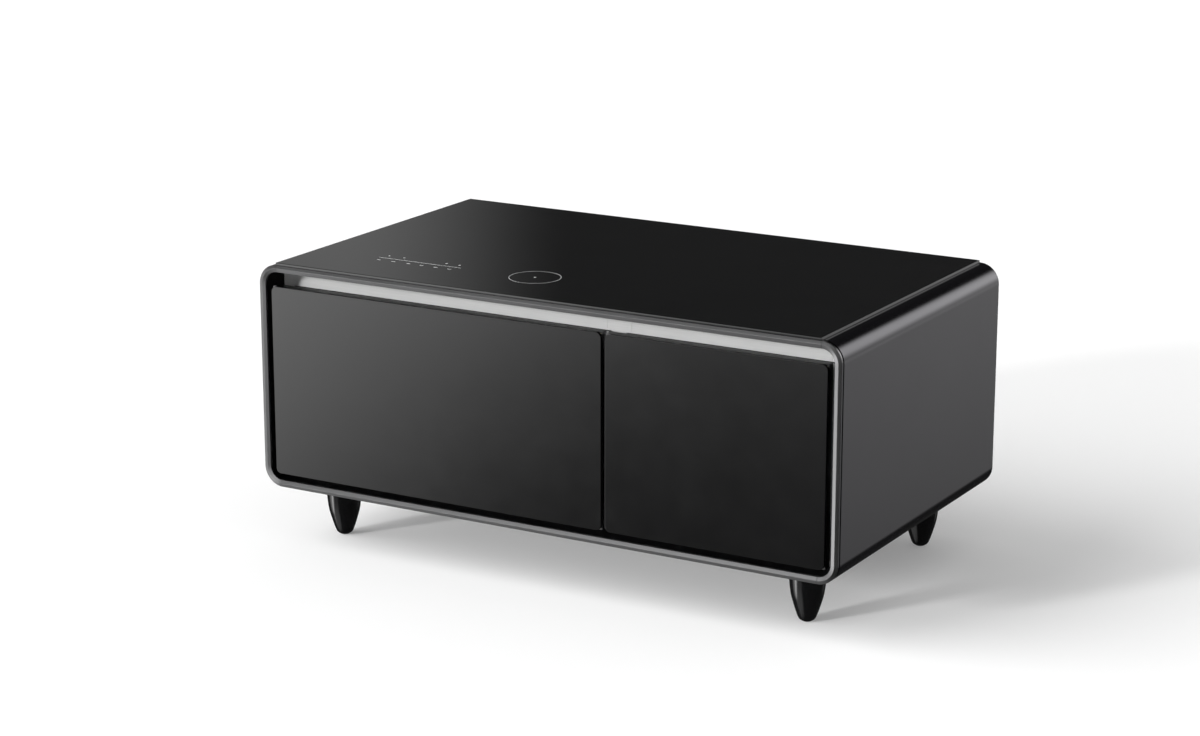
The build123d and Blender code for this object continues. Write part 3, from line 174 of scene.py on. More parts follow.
@dataclass(frozen=True)
class Finish:
    """A procedural surface: a base colour, its shading, and relief at its real scale.

    Periods and depths are real sizes in metres, and the pattern reads Object coordinates.
    """

    name: str
    colour: Colour
    tint: Colour
    roughness: float
    metallic: float = 0.0
    specular: float = 0.5
    reflection_tint: Colour = (1.0, 1.0, 1.0)
    coat: float = 0.0
    coat_roughness: float = 0.06
    spread: float = 0.04
    grain: Grain = Grain.PEEL
    period: float = 1.2 * MM
    relief: float = 0.01 * MM
    mottle: float = 90.0 * MM

    def material(self) -> Material:
        """Build the material once and give the same one afterwards.

        Returns:
            The material, with colour, roughness and relief driven by texture nodes.
        """
        title = f"{self.name}_finish"
        known = bpy.data.materials.get(title)
        if known is not None:
            return known
        made = bpy.data.materials.new(title)
        made.use_nodes = True
        shader = made.node_tree.nodes["Principled BSDF"]
        self.set_shader(shader)
        coords = made.node_tree.nodes.new("ShaderNodeTexCoord")
        broad = self.texture(made.node_tree, coords, Grain.PEEL, self.mottle)
        fine = self.texture(made.node_tree, coords, self.grain, self.period)
        self.paint(made.node_tree, shader, broad, fine)
        self.roughen(made.node_tree, shader, broad, fine)
        self.emboss(made.node_tree, shader, fine)
        return made

    def set_shader(self, shader: Node) -> None:
        """Set what is the same all over the surface on the shader's own sockets.

        Args:
            shader: the material's shader node.
        """
        shader.inputs["Base Color"].default_value = (*self.colour, 1.0)
        shader.inputs["Metallic"].default_value = self.metallic
        shader.inputs["Specular IOR Level"].default_value = self.specular
        shader.inputs["Specular Tint"].default_value = (*self.reflection_tint, 1.0)
        shader.inputs["Coat Weight"].default_value = self.coat
        shader.inputs["Coat Roughness"].default_value = self.coat_roughness

    def texture(
        self,
        tree: Tree,
        coords: Node,
        grain: Grain,
        period: float,
    ) -> Socket:
        """Add a texture of a given grain and period.

        Args:
            tree: the material's node tree.
            coords: the texture coordinate node.
            grain: the kind of relief.
            period: the size of its features in metres.

        Returns:
            The socket that holds its value, from 0 to 1.
        """
        scale = [slow / period for slow in grain.stretch()]
        source = {"Vector": coords.outputs["Object"], "Scale": scale}
        mapping = add_node(tree, "ShaderNodeMapping", source)
        placed = {"Vector": mapping.outputs["Vector"], "Scale": 1.0}
        if grain in (Grain.SPANGLE, Grain.CELLS):
            cells = add_node(tree, "ShaderNodeTexVoronoi", placed)
            return cells.outputs["Color" if grain is Grain.SPANGLE else "Distance"]
        noise = add_node(tree, "ShaderNodeTexNoise", {**placed, "Detail": NOISE_DETAIL})
        return noise.outputs["Fac"]

    def paint(
        self,
        tree: Tree,
        shader: Node,
        broad: Socket,
        fine: Socket,
    ) -> None:
        """Vary the colour between its two shades, by the broad and the fine pattern together.

        Args:
            tree: the material's node tree.
            shader: its shader node.
            broad: the socket of the broad pattern.
            fine: the socket of the fine pattern.
        """
        blend = add_math(tree, "MULTIPLY_ADD", broad, BROAD_SHARE, fine)
        low, high = BLEND_RANGE
        ramp = add_node(
            tree, "ShaderNodeMapRange", {"Value": blend, "From Min": low, "From Max": high}
        )
        mix = add_node(tree, "ShaderNodeMix", {"Factor": ramp.outputs["Result"]}, data_type="RGBA")
        shades = [socket for socket in mix.inputs if socket.type == "RGBA"]
        for shade, colour in zip(shades, (self.colour, self.tint)):
            shade.default_value = (*colour, 1.0)
        result = next(socket for socket in mix.outputs if socket.type == "RGBA")
        tree.links.new(result, shader.inputs["Base Color"])

    def roughen(
        self,
        tree: Tree,
        shader: Node,
        broad: Socket,
        fine: Socket,
    ) -> None:
        """Let the roughness wander by its spread, as handling and cleaning leave it.

        Args:
            tree: the material's node tree.
            shader: its shader node.
            broad: the socket of the broad pattern.
            fine: the socket of the fine pattern.
        """
        ramp = add_node(
            tree,
            "ShaderNodeMapRange",
            {
                "Value": add_math(tree, "MULTIPLY", broad, fine),
                "From Max": WEAR_TOP,
                "To Min": self.roughness - self.spread,
                "To Max": self.roughness + self.spread,
            },
        )
        tree.links.new(ramp.outputs["Result"], shader.inputs["Roughness"])

    def emboss(self, tree: Tree, shader: Node, fine: Socket) -> None:
        """Raise the fine pattern by its real relief.

        Args:
            tree: the material's node tree.
            shader: its shader node.
            fine: the socket of the fine pattern.
        """
        relief = {"Strength": 1.0, "Distance": self.relief, "Height": fine}
        bump = add_node(tree, "ShaderNodeBump", relief)
        tree.links.new(bump.outputs["Normal"], shader.inputs["Normal"])


SHELL_COAT = Finish(
    "shell_coat", (0.0026, 0.0024, 0.0034), (0.0036, 0.0033, 0.0046), 0.17, spread=0.02,
    reflection_tint=(0.93, 0.89, 1.0), period=1.4 * MM, relief=0.01 * MM,
)
FRAME_X = Finish(
    "frame_metal_long", (0.2, 0.2, 0.203), (0.25, 0.25, 0.253), 0.3, metallic=1.0, spread=0.05,
    grain=Grain.BRUSHED_X, period=0.5 * MM, relief=0.003 * MM,
)
FRAME_Z = Finish(
    "frame_metal_upright", (0.2, 0.2, 0.203), (0.25, 0.25, 0.253), 0.3, metallic=1.0, spread=0.05,
    grain=Grain.BRUSHED_Z, period=0.5 * MM, relief=0.003 * MM,
)
RECESS_BLACK = Finish(
    "recess_black", (0.0022, 0.0022, 0.0024), (0.0034, 0.0034, 0.0036), 0.55, specular=0.12,
    period=0.5 * MM, relief=0.02 * MM,
)
FACE_STEEL = Finish(
    "face_steel", (0.66, 0.665, 0.66), (0.74, 0.74, 0.735), 0.36, metallic=0.1, spread=0.06,
    grain=Grain.BRUSHED_X, period=0.7 * MM, relief=0.006 * MM, mottle=60 * MM,
)
TOP_GLASS = Finish(
    "top_glass_black", (0.0035, 0.0037, 0.0038), (0.0048, 0.005, 0.0052), 0.06, spread=0.02,
    period=60 * MM, relief=0.01 * MM, mottle=160 * MM,
)
FRONT_GLASS = Finish(
    "front_glass_black", (0.002, 0.002, 0.0021), (0.003, 0.003, 0.0031), 0.14, spread=0.02,
    period=40 * MM, relief=0.008 * MM, mottle=150 * MM,
)
TRIM_GREY = Finish(
    "trim_grey", (0.12, 0.12, 0.122), (0.16, 0.16, 0.162), 0.34, metallic=1.0,
    grain=Grain.BRUSHED_X, period=0.4 * MM, relief=0.003 * MM,
)
LINER_WHITE = Finish(
    "liner_white", (0.74, 0.755, 0.765), (0.79, 0.8, 0.81), 0.34, period=1.6 * MM,
    relief=0.012 * MM,
)
BIN_GREY = Finish(
    "bin_grey", (0.6, 0.625, 0.65), (0.66, 0.68, 0.7), 0.3, coat=0.15, period=2.0 * MM,
    relief=0.01 * MM,
)
FOAM = Finish(
    "foam", (0.72, 0.63, 0.4), (0.82, 0.75, 0.54), 0.9, specular=0.2, grain=Grain.CELLS,
    period=1.8 * MM, relief=0.5 * MM,
)
SLIDE_ZINC = Finish(
    "slide_zinc", (0.5, 0.51, 0.52), (0.62, 0.63, 0.645), 0.36, metallic=1.0, spread=0.08,
    grain=Grain.BRUSHED_Y, period=0.6 * MM, relief=0.004 * MM, mottle=30 * MM,
)
GASKET_RUBBER = Finish(
    "gasket_rubber", (0.018, 0.018, 0.019), (0.03, 0.03, 0.032), 0.62, specular=0.35,
    period=0.5 * MM, relief=0.03 * MM,
)
LEG_GLOSS = Finish(
    "leg_gloss", (0.003, 0.003, 0.0032), (0.0045, 0.0045, 0.005), 0.14, coat=0.6,
    coat_roughness=0.08, period=3.0 * MM, relief=0.008 * MM,
)
PAD_RUBBER = Finish(
    "pad_rubber", (0.03, 0.03, 0.03), (0.05, 0.05, 0.05), 0.8, period=0.8 * MM, relief=0.05 * MM,
)
ZINC_SHEET = Finish(
    "zinc_sheet", (0.42, 0.43, 0.44), (0.6, 0.61, 0.62), 0.42, metallic=1.0, spread=0.1,
    grain=Grain.SPANGLE, period=9 * MM, relief=0.004 * MM,
)
COMPRESSOR_BLACK = Finish(
    "compressor_black", (0.008, 0.008, 0.009), (0.014, 0.014, 0.015), 0.25, coat=0.4,
    period=2.0 * MM, relief=0.03 * MM,
)
COPPER = Finish(
    "copper", (0.6, 0.27, 0.15), (0.42, 0.19, 0.11), 0.3, metallic=1.0, spread=0.08,
    period=6 * MM, relief=0.01 * MM, mottle=25 * MM,
)
FIN_ALUMINIUM = Finish(
    "fin_aluminium", (0.62, 0.63, 0.64), (0.72, 0.73, 0.74), 0.38, metallic=1.0,
    grain=Grain.BRUSHED_Z, period=0.5 * MM, relief=0.004 * MM,
)
BOARD_GREEN = Finish(
    "board_green", (0.01, 0.085, 0.03), (0.02, 0.14, 0.055), 0.4, grain=Grain.SPANGLE,
    period=3.0 * MM, relief=0.05 * MM, mottle=12 * MM,
)
INNER_PLASTIC = Finish(
    "inner_plastic", (0.035, 0.035, 0.038), (0.055, 0.055, 0.058), 0.55, period=0.7 * MM,
    relief=0.03 * MM,
)
INLET_BLACK = Finish(
    "inlet_black", (0.012, 0.012, 0.012), (0.02, 0.02, 0.02), 0.42, period=0.6 * MM,
    relief=0.02 * MM,
)
PRINT_GREY = Finish(
    "print_grey", (0.68, 0.69, 0.69), (0.76, 0.77, 0.77), 0.5, period=0.4 * MM, relief=0.002 * MM,
    mottle=4 * MM,
)


@dataclass(frozen=True)
class Rect:
    """An upright or flat rectangle: its extent across and along."""

    left: float
    right: float
    low: float
    high: float

    def inset(self, by: float) -> "Rect":
        """Draw every side in by a distance, or out by a negative one."""
        return Rect(self.left + by, self.right - by, self.low + by, self.high - by)

    def middle(self) -> tuple[float, float]:
        """Give its middle, across and along."""
        return (self.left + self.right) / 2, (self.low + self.high) / 2


@dataclass(frozen=True)
class Box:
    """The box of a construction node at rest."""

    low: Vector
    high: Vector

    @classmethod
    def of(cls, node: str) -> "Box":
        """Read the box of a node from the frame."""
        return cls(*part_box(node))

    def front(self) -> Rect:
        """Give its rectangle seen from the front."""
        return Rect(self.low.x, self.high.x, self.low.z, self.high.z)

    def top(self) -> Rect:
        """Give its rectangle seen from above."""
        return Rect(self.low.x, self.high.x, self.low.y, self.high.y)


def rounded_loop(
    rect: Rect,
    radius: float | Sequence[float],
    depth: float,
    facing: Facing = Facing.FRONT,
    steps: int = ARC_STEPS,
) -> Loop:
    """Walk round a rectangle with rounded corners.

    Args:
        rect: the rectangle.
        radius: one corner radius, or four from the lower right corner anticlockwise.
        depth: the place of the loop along the facing's depth.
        facing: how the outline lies in the row frame.
        steps: the number of steps in each corner.

    Returns:
        The points, corner by corner from the lower right one anticlockwise.
    """
    radii = [radius] * 4 if isinstance(radius, float) else list(radius)
    signs = ((1, -1), (1, 1), (-1, 1), (-1, -1))
    points = []
    for index, (wanted, (across_way, along_way)) in enumerate(zip(radii, signs)):
        across = (rect.right if across_way > 0 else rect.left) - across_way * wanted
        along = (rect.high if along_way > 0 else rect.low) - along_way * wanted
        for step in range(steps + 1):
            angle = math.radians(90.0 * (index - 1 + step / steps))
            points.append(
                facing.point(
                    across + wanted * math.cos(angle), along + wanted * math.sin(angle), depth
                )
            )
    return points


def link_mesh(name: str, mesh: Mesh) -> Piece:
    """Put a mesh in the scene as an object at the origin.

    Args:
        name: the object's name.
        mesh: its mesh.

    Returns:
        The object.
    """
    piece = bpy.data.objects.new(name, mesh)
    bpy.context.scene.collection.objects.link(piece)
    return piece


def skin(name: str, loops: Sequence[Loop], hoop: bool = False, open_path: bool = False) -> Piece:
    """Bridge loops of equal length into one closed mesh.

    Args:
        name: the object's name.
        loops: the loops, in order.
        hoop: join the last loop to the first one, in place of two end caps.
        open_path: the loops are strips whose ends are capped too, as on a cut frame piece.

    Returns:
        The object, with its faces pointing outwards.
    """
    grid = bmesh.new()
    rows = [[grid.verts.new(point) for point in loop] for loop in loops]
    pairs = list(zip(rows, rows[1:] + rows[:1])) if hoop else list(zip(rows, rows[1:]))
    count = len(rows[0])
    spans = range(count - 1) if open_path else range(count)
    for near, far in pairs:
        for index in spans:
            after = (index + 1) % count
            grid.faces.new((near[index], near[after], far[after], far[index]))
    if open_path:
        grid.faces.new([row[0] for row in rows])
        grid.faces.new([row[-1] for row in reversed(rows)])
    elif not hoop:
        grid.faces.new(rows[0])
        grid.faces.new(rows[-1])
    bmesh.ops.remove_doubles(grid, verts=grid.verts, dist=WELD)
    bmesh.ops.recalc_face_normals(grid, faces=grid.faces)
    mesh = bpy.data.meshes.new(name)
    grid.to_mesh(mesh)
    grid.free()
    return link_mesh(name, mesh)


def turned_loops(
    profile: Sequence[tuple[float, float]], sides: int, middle: Sequence[float] = (0.0, 0.0)
) -> list[Loop]:
    """Turn a profile about an upright axis.

    Args:
        profile: radius and height in metres, level by level.
        sides: the number of points round the axis.
        middle: the axis's place along X and Y.

    Returns:
        One loop of points for each level.
    """
    turns = [2 * math.pi * side / sides for side in range(sides)]
    return [
        [
            Vector((
                middle[0] + radius * math.cos(turn), middle[1] + radius * math.sin(turn), height
            ))
            for turn in turns
        ]
        for radius, height in profile
    ]


def cut_away(piece: Piece, cutter: Piece) -> None:
    """Take a cutter's shape out of a piece and remove the cutter.

    Args:
        piece: the object that is cut.
        cutter: the shape to take out of it.
    """
    cut = piece.modifiers.new("cut", "BOOLEAN")
    cut.operation = "DIFFERENCE"
    cut.solver = "EXACT"
    cut.object = cutter
    settle(piece)
    bpy.data.objects.remove(cutter)


def join(name: str, pieces: Sequence[Piece]) -> Piece:
    """Join plain mesh objects into one with a given name.

    Args:
        name: the new object's name.
        pieces: the objects, which are removed.

    Returns:
        The joined object.
    """
    grid = bmesh.new()
    for piece in pieces:
        grid.from_mesh(piece.data)
    mesh = bpy.data.meshes.new(name)
    grid.to_mesh(mesh)
    grid.free()
    for piece in pieces:
        bpy.data.objects.remove(piece)
    return link_mesh(name, mesh)


def settle(piece: Piece) -> Piece:
    """Apply a piece's modifiers to a plain mesh.

    Args:
        piece: the object with its modifiers.

    Returns:
        The same object, without a modifier.
    """
    bpy.context.view_layer.update()
    graph = bpy.context.evaluated_depsgraph_get()
    mesh = bpy.data.meshes.new_from_object(piece.evaluated_get(graph), depsgraph=graph)
    piece.modifiers.clear()
    piece.data = mesh
    return piece


def soften(piece: Piece, width: float, limit: float = EDGE_LIMIT, segments: int = 2) -> Piece:
    """Round the edges of a piece and shade it smoothly between them.

    Args:
        piece: the object to finish.
        width: the width of the rounding in metres.
        limit: the least angle in degrees of an edge that is rounded.
        segments: the number of faces across a rounding.

    Returns:
        The same object with a plain finished mesh.
    """
    for face in piece.data.polygons:
        face.use_smooth = True
    bevel = piece.modifiers.new("edge_rounding", "BEVEL")
    bevel.limit_method = "ANGLE"
    bevel.angle_limit = math.radians(limit)
    bevel.width = width
    bevel.segments = segments
    weigh = piece.modifiers.new("face_weights", "WEIGHTED_NORMAL")
    weigh.mode = "FACE_AREA"
    weigh.weight = 100
    return settle(piece)


def clothe(piece: Piece, finish: Finish) -> Piece:
    """Give every face of a piece one finish.

    Args:
        piece: the object.
        finish: its surface.

    Returns:
        The same object.
    """
    piece.data.materials.clear()
    piece.data.materials.append(finish.material())
    return piece


def mount(piece: Piece, body: str, slot: str, finish: Finish, *nodes: str) -> Piece:
    """Dress a piece, let it ride on its body and let it stand for construction nodes.

    Args:
        piece: the finished object.
        body: the body that it moves with.
        slot: the record's material slot; not used.
        finish: its surface.
        nodes: the construction nodes that it stands for.

    Returns:
        The same object.
    """
    clothe(piece, finish)
    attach(piece, body)
    if nodes:
        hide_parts(*nodes)
    LOG.info("%s: %d faces on %s", piece.name, len(piece.data.polygons), body)
    return piece


def dress_node(nodes: Nodes, name: str, finish: Finish) -> None:
    """Give a construction node that stays in view its finish.

    Args:
        nodes: the construction nodes by name.
        name: the node's name.
        finish: its surface.
    """
    piece = nodes[name]
    for slot in piece.material_slots:
        slot.material = finish.material()


class GeometryGraph:
    """A Geometry Nodes tree with named sizes, built in code and turned into a plain mesh."""

    def __init__(self, name: str, sizes: dict[str, float]) -> None:
        """Start a tree.

        Args:
            name: the tree's name, which its piece takes too.
            sizes: the named inputs and their values in metres.
        """
        self.name = name
        self.sizes = sizes
        self.tree = bpy.data.node_groups.new(name, "GeometryNodeTree")
        interface = self.tree.interface
        interface.new_socket("Geometry", in_out="INPUT", socket_type="NodeSocketGeometry")
        interface.new_socket("Geometry", in_out="OUTPUT", socket_type="NodeSocketGeometry")
        for size in sizes:
            interface.new_socket(size, in_out="INPUT", socket_type="NodeSocketFloat")
        self.entry = self.tree.nodes.new("NodeGroupInput")
        self.exit = self.tree.nodes.new("NodeGroupOutput")

    def size(self, name: str) -> Socket:
        """Give the socket of a named size."""
        return self.entry.outputs[name]

    def add(self, kind: str, inputs: dict[str, Any], **settings: Any) -> Node:
        """Add a node to this tree, as add_node does."""
        return add_node(self.tree, kind, inputs, **settings)

    def move(
        self, shape: Socket, to: Sequence[float], turn: Sequence[float] = (0, 0, 0)
    ) -> Socket:
        """Turn a shape about the origin and then move it.

        Args:
            shape: the geometry.
            to: where its origin goes.
            turn: the angles about X, Y and Z in radians.

        Returns:
            The moved geometry.
        """
        moved = self.add(
            "GeometryNodeTransform", {"Geometry": shape, "Translation": to, "Rotation": turn}
        )
        return moved.outputs["Geometry"]

    def gather(self, shapes: Sequence[Socket]) -> Socket:
        """Join shapes into one.

        Args:
            shapes: the geometries.

        Returns:
            The joined geometry.
        """
        joined = self.tree.nodes.new("GeometryNodeJoinGeometry")
        for shape in shapes:
            self.tree.links.new(shape, joined.inputs["Geometry"])
        return joined.outputs["Geometry"]

    def bar(self, width: Any, height: Any, radius: Any, at: Sequence[float] = (0, 0, 0)) -> Socket:
        """Draw a flat outline with rounded corners, as a curve.

        Args:
            width: its size along X, as a number or a socket.
            height: its size along Y, as a number or a socket.
            radius: the radius of its corners.
            at: where its middle goes.

        Returns:
            The curve.
        """
        outline = self.add(
            "GeometryNodeCurvePrimitiveQuadrilateral", {"Width": width, "Height": height}
        )
        rounded = self.add(
            "GeometryNodeFilletCurve",
            {"Curve": outline.outputs["Curve"], "Radius": radius, "Count": FILLET_STEPS},
            mode="POLY",
        )
        return self.move(rounded.outputs["Curve"], at)

    def circle(self, radius: Any, at: Sequence[float]) -> Socket:
        """Draw a flat circle, as a curve.

        Args:
            radius: its radius, as a number or a socket.
            at: where its middle goes.

        Returns:
            The curve.
        """
        outline = self.add(
            "GeometryNodeCurvePrimitiveCircle", {"Radius": radius, "Resolution": CIRCLE_STEPS}
        )
        return self.move(outline.outputs["Curve"], at)

    def plate(self, curves: Sequence[Socket], thickness: Socket) -> Socket:
        """Fill outlines, with any inside another as a hole, and raise them by a thickness.

        Args:
            curves: the flat outlines at the level of the origin.
            thickness: the socket of the plate's thickness.

        Returns:
            The closed plate.
        """
        filled = self.add("GeometryNodeFillCurve", {"Curve": self.gather(curves)}, mode="NGONS")
        sheet = filled.outputs["Mesh"]
        raised = self.add(
            "GeometryNodeExtrudeMesh",
            {"Mesh": sheet, "Offset Scale": thickness, "Individual": False},
        )
        under = self.add("GeometryNodeFlipFaces", {"Mesh": sheet})
        closed = self.add(
            "GeometryNodeMergeByDistance",
            {
                "Geometry": self.gather([raised.outputs["Mesh"], under.outputs["Mesh"]]),
                "Distance": WELD,
            },
        )
        return closed.outputs["Geometry"]

    def grid(self, width: float, height: float, columns: int, rows: int) -> Socket:
        """Lay out points in even columns and rows about the origin.

        Args:
            width: the distance from the first column to the last.
            height: the distance from the first row to the last.
            columns: how many columns there are.
            rows: how many rows there are.

        Returns:
            The points.
        """
        points = self.add(
            "GeometryNodeMeshGrid",
            {"Size X": width, "Size Y": height, "Vertices X": columns, "Vertices Y": rows},
        )
        return points.outputs["Mesh"]

    def repeat(self, shape: Socket, points: Socket) -> Socket:
        """Put one of a shape on every point and make them real.

        Args:
            shape: the geometry to repeat.
            points: where each one goes.

        Returns:
            The repeated geometry.
        """
        placed = self.add("GeometryNodeInstanceOnPoints", {"Points": points, "Instance": shape})
        real = self.add("GeometryNodeRealizeInstances", {"Geometry": placed.outputs["Instances"]})
        return real.outputs["Geometry"]

    def finish(self, shape: Socket, finish: Finish) -> Piece:
        """End the tree, evaluate it and keep its result as a plain mesh.

        Args:
            shape: the geometry to keep.
            finish: the surface that it gets.

        Returns:
            The object, without a modifier.
        """
        real = self.add("GeometryNodeRealizeInstances", {"Geometry": shape})
        coated = self.add(
            "GeometryNodeSetMaterial",
            {"Geometry": real.outputs["Geometry"], "Material": finish.material()},
        )
        self.tree.links.new(coated.outputs["Geometry"], self.exit.inputs["Geometry"])
        piece = link_mesh(self.name, bpy.data.meshes.new(self.name))
        modifier = piece.modifiers.new(self.name, "NODES")
        modifier.node_group = self.tree
        for item in self.tree.interface.items_tree:
            if item.in_out == "INPUT" and item.name in self.sizes:
                modifier[item.identifier] = self.sizes[item.name]
        return settle(piece)


@dataclass(frozen=True)
class Plan:
    """Planes and outlines that the pieces share, read from the construction nodes."""

    outer: Rect
    front: float
    corner: float = 32.0 * MM

    @classmethod
    def read(cls) -> "Plan":
        """Measure the shared planes once the frame is loaded."""
        return cls(Box.of("outer_shell").front(), Box.of("front_frame_top").low.y)

    def loop(self, inset: float, depth: float) -> Loop:
        """Walk round the cabinet's outline.

        Args:
            inset: how far inside the outline, in metres.
            depth: how far behind the front, in metres.

        Returns:
            The points of the loop.
        """
        return rounded_loop(self.outer.inset(inset), self.corner - inset, self.front + depth)


@dataclass
class Cabinet:
    """The shell, the front frame, the recess, the face plates and the liners."""

    plan: Plan
    nodes: Nodes
    shell_wall: float = 1.5 * MM
    return_flange: float = 14.0 * MM
    lip_thickness: float = 0.6 * MM
    tray_overlap: float = 2.0 * MM
    tray_corner: float = 5.0 * MM
    tray_cut: float = 2.5 * MM
    seam: float = 0.08 * MM
    ridge_edge: float = 0.35 * MM
    ridge_limit: float = 12.0
    flank_depth: float = 0.2 * MM
    flank_slope: float = 0.5
    frame_section: Outline = (
        (0.0, 5.5), (0.0, 1.4), (5.2, 0.0), (11.2, 1.4), (11.2, 5.5),
    )
    groove_inset: float = 2.5 * MM
    recess_wall: float = 2.0 * MM
    recess_corner: float = 4.0 * MM

    def build(self) -> None:
        """Make every piece of the cabinet."""
        self.shell()
        self.frame()
        self.recess()
        self.face_plates()
        self.liners()
        dress_node(self.nodes, "foam_insulation", FOAM)
        dress_node(self.nodes, "evaporator_plates", FIN_ALUMINIUM)

    def shell(self) -> None:
        """Wrap the outer shell, with its return flange and the opening for the electronics."""
        box = Box.of("outer_shell")
        seat = Box.of("back_panel").low.y
        inner = self.shell_wall
        lip = box.low.y - self.lip_thickness
        section = (
            (0.0, lip), (0.0, box.high.y), (inner, box.high.y), (inner, seat),
            (inner + self.return_flange, seat), (inner + self.return_flange, seat - inner),
            (inner, seat - inner), (inner, box.low.y), (self.groove_inset, box.low.y),
            (self.groove_inset, lip),
        )
        shell = skin(
            "outer_shell_sheet",
            [self.plan.loop(inset, y - self.plan.front) for inset, y in section],
            hoop=True,
        )
        tray = Box.of("electronics_tray").top().inset(self.tray_overlap)
        cutter = skin(
            "tray_opening",
            [
                rounded_loop(tray, self.tray_corner, box.high.z + offset, Facing.TOP)
                for offset in (-self.tray_cut, self.tray_cut)
            ],
        )
        cut_away(shell, cutter)
        soften(shell, SHEET_EDGE)
        mount(shell, "cabinet", "shell_coat", SHELL_COAT, "outer_shell")

    def frame(self) -> None:
        """Make the four ridged frame pieces, with hairline seams between them."""
        rows = [self.plan.loop(inset * MM, depth * MM) for inset, depth in self.frame_section]
        corner = ARC_STEPS + 1
        spans = {
            "right": (range(0, 2 * corner), Vector((self.seam, 0, 0))),
            "left": (range(2 * corner, 4 * corner), Vector((-self.seam, 0, 0))),
            "top": ((2 * corner - 1, 2 * corner), Vector()),
            "bottom": ((4 * corner - 1, 0), Vector()),
        }
        for name, (indices, shift) in spans.items():
            loops = [[row[index].copy() for index in indices] for row in rows]
            for loop in loops:
                loop[0] += shift
                loop[-1] += shift
            piece = skin(f"front_frame_{name}_piece", loops, hoop=True, open_path=True)
            soften(piece, self.ridge_edge, limit=self.ridge_limit, segments=3)
            level = name in ("top", "bottom")
            finish = FRAME_X if level else FRAME_Z
            mount(piece, "cabinet", "frame_metal", finish, f"front_frame_{name}")
            if not level:
                self.coat_flank(piece)

    def coat_flank(self, piece: Piece) -> None:
        """Give the sideways-facing outer flank of a side piece the shell's dark coat, in place of
        the frame metal.

        Args:
            piece: the left or right piece of the frame.
        """
        piece.data.materials.append(SHELL_COAT.material())
        # faces at the outer edge that face sideways take the dark coat, so this flank renders dark
        reach = self.plan.outer.right - self.flank_depth
        for face in piece.data.polygons:
            if abs(face.center.x) > reach and abs(face.normal.y) < self.flank_slope:
                face.material_index = 1

    def recess(self) -> None:
        """Line the groove behind the frame and the box that the drawers close into."""
        box = Box.of("recess_surround")
        groove = box.front()
        mouth = Box.of("face_stiles").front()
        groove_corner = self.plan.corner - self.groove_inset
        outer_corner = self.recess_corner + self.recess_wall
        groove_back = Box.of("outer_shell").low.y
        section = (
            (groove, groove_corner, box.low.y),
            (groove, groove_corner, groove_back),
            (mouth, outer_corner, groove_back),
            (mouth, outer_corner, box.high.y),
            (mouth.inset(self.recess_wall), self.recess_corner, box.high.y),
            (mouth.inset(self.recess_wall), self.recess_corner, box.low.y),
        )
        loops = [rounded_loop(rect, radius, y) for rect, radius, y in section]
        lining = soften(skin("recess_lining", loops, hoop=True), PLATE_EDGE)
        mount(lining, "cabinet", "recess_black", RECESS_BLACK, "recess_surround")

    def face_plates(self) -> None:
        """Make the steel plates round the openings, with a hairline seam at each side."""
        whole = Box.of("face_stiles")
        corner = self.recess_corner + self.recess_wall
        left, right = Box.of("face_rail_left").front(), Box.of("face_rail_right").front()
        sill_top = Box.of("face_sills").high.z
        low, high = whole.low.z, whole.high.z
        plates = {
            "face_stile_plates": ("face_stiles", [
                (Rect(whole.low.x, left.left, low, high), (SHARP, SHARP, corner, corner)),
                (Rect(right.right, whole.high.x, low, high), (corner, corner, SHARP, SHARP)),
            ]),
            "face_mullion_plate": ("face_mullion", [(Box.of("face_mullion").front(), SHARP)]),
            "face_rail_left_plate": ("face_rail_left", [(left, SHARP)]),
            "face_rail_right_plate": ("face_rail_right", [(right, SHARP)]),
            "face_sill_plates": ("face_sills", [
                (Rect(left.left, left.right, low, sill_top), SHARP),
                (Rect(right.left, right.right, low, sill_top), SHARP),
            ]),
        }
        for name, (node, outlines) in plates.items():
            solids = [
                skin(name, [
                    rounded_loop(
                        Rect(rect.left + self.seam, rect.right - self.seam, rect.low, rect.high),
                        radius, y, steps=4,
                    )
                    for y in (whole.low.y, whole.high.y)
                ])
                for rect, radius in outlines
            ]
            piece = soften(join(name, solids), PLATE_EDGE)
            mount(piece, "cabinet", "face_steel", FACE_STEEL, node)

    def liners(self) -> None:
        """Mould the two compartment liners with their flanges."""
        flange, wall, corner, edge = 8.0 * MM, 1.5 * MM, 12.0 * MM, 0.7 * MM
        for side in Side:
            name = f"liner_{side.value}"
            box = Box.of(name)
            mouth = box.front().inset(flange)
            section = (
                (0.0, box.high.y - wall), (0.0, box.low.y), (-flange, box.low.y),
                (-flange, box.low.y + wall), (-wall, box.low.y + wall), (-wall, box.high.y),
            )
            loops = [rounded_loop(mouth.inset(out), corner - out, y) for out, y in section]
            piece = soften(skin(f"{name}_tub", loops), edge)
            mount(piece, "cabinet", "liner_white", LINER_WHITE, name)


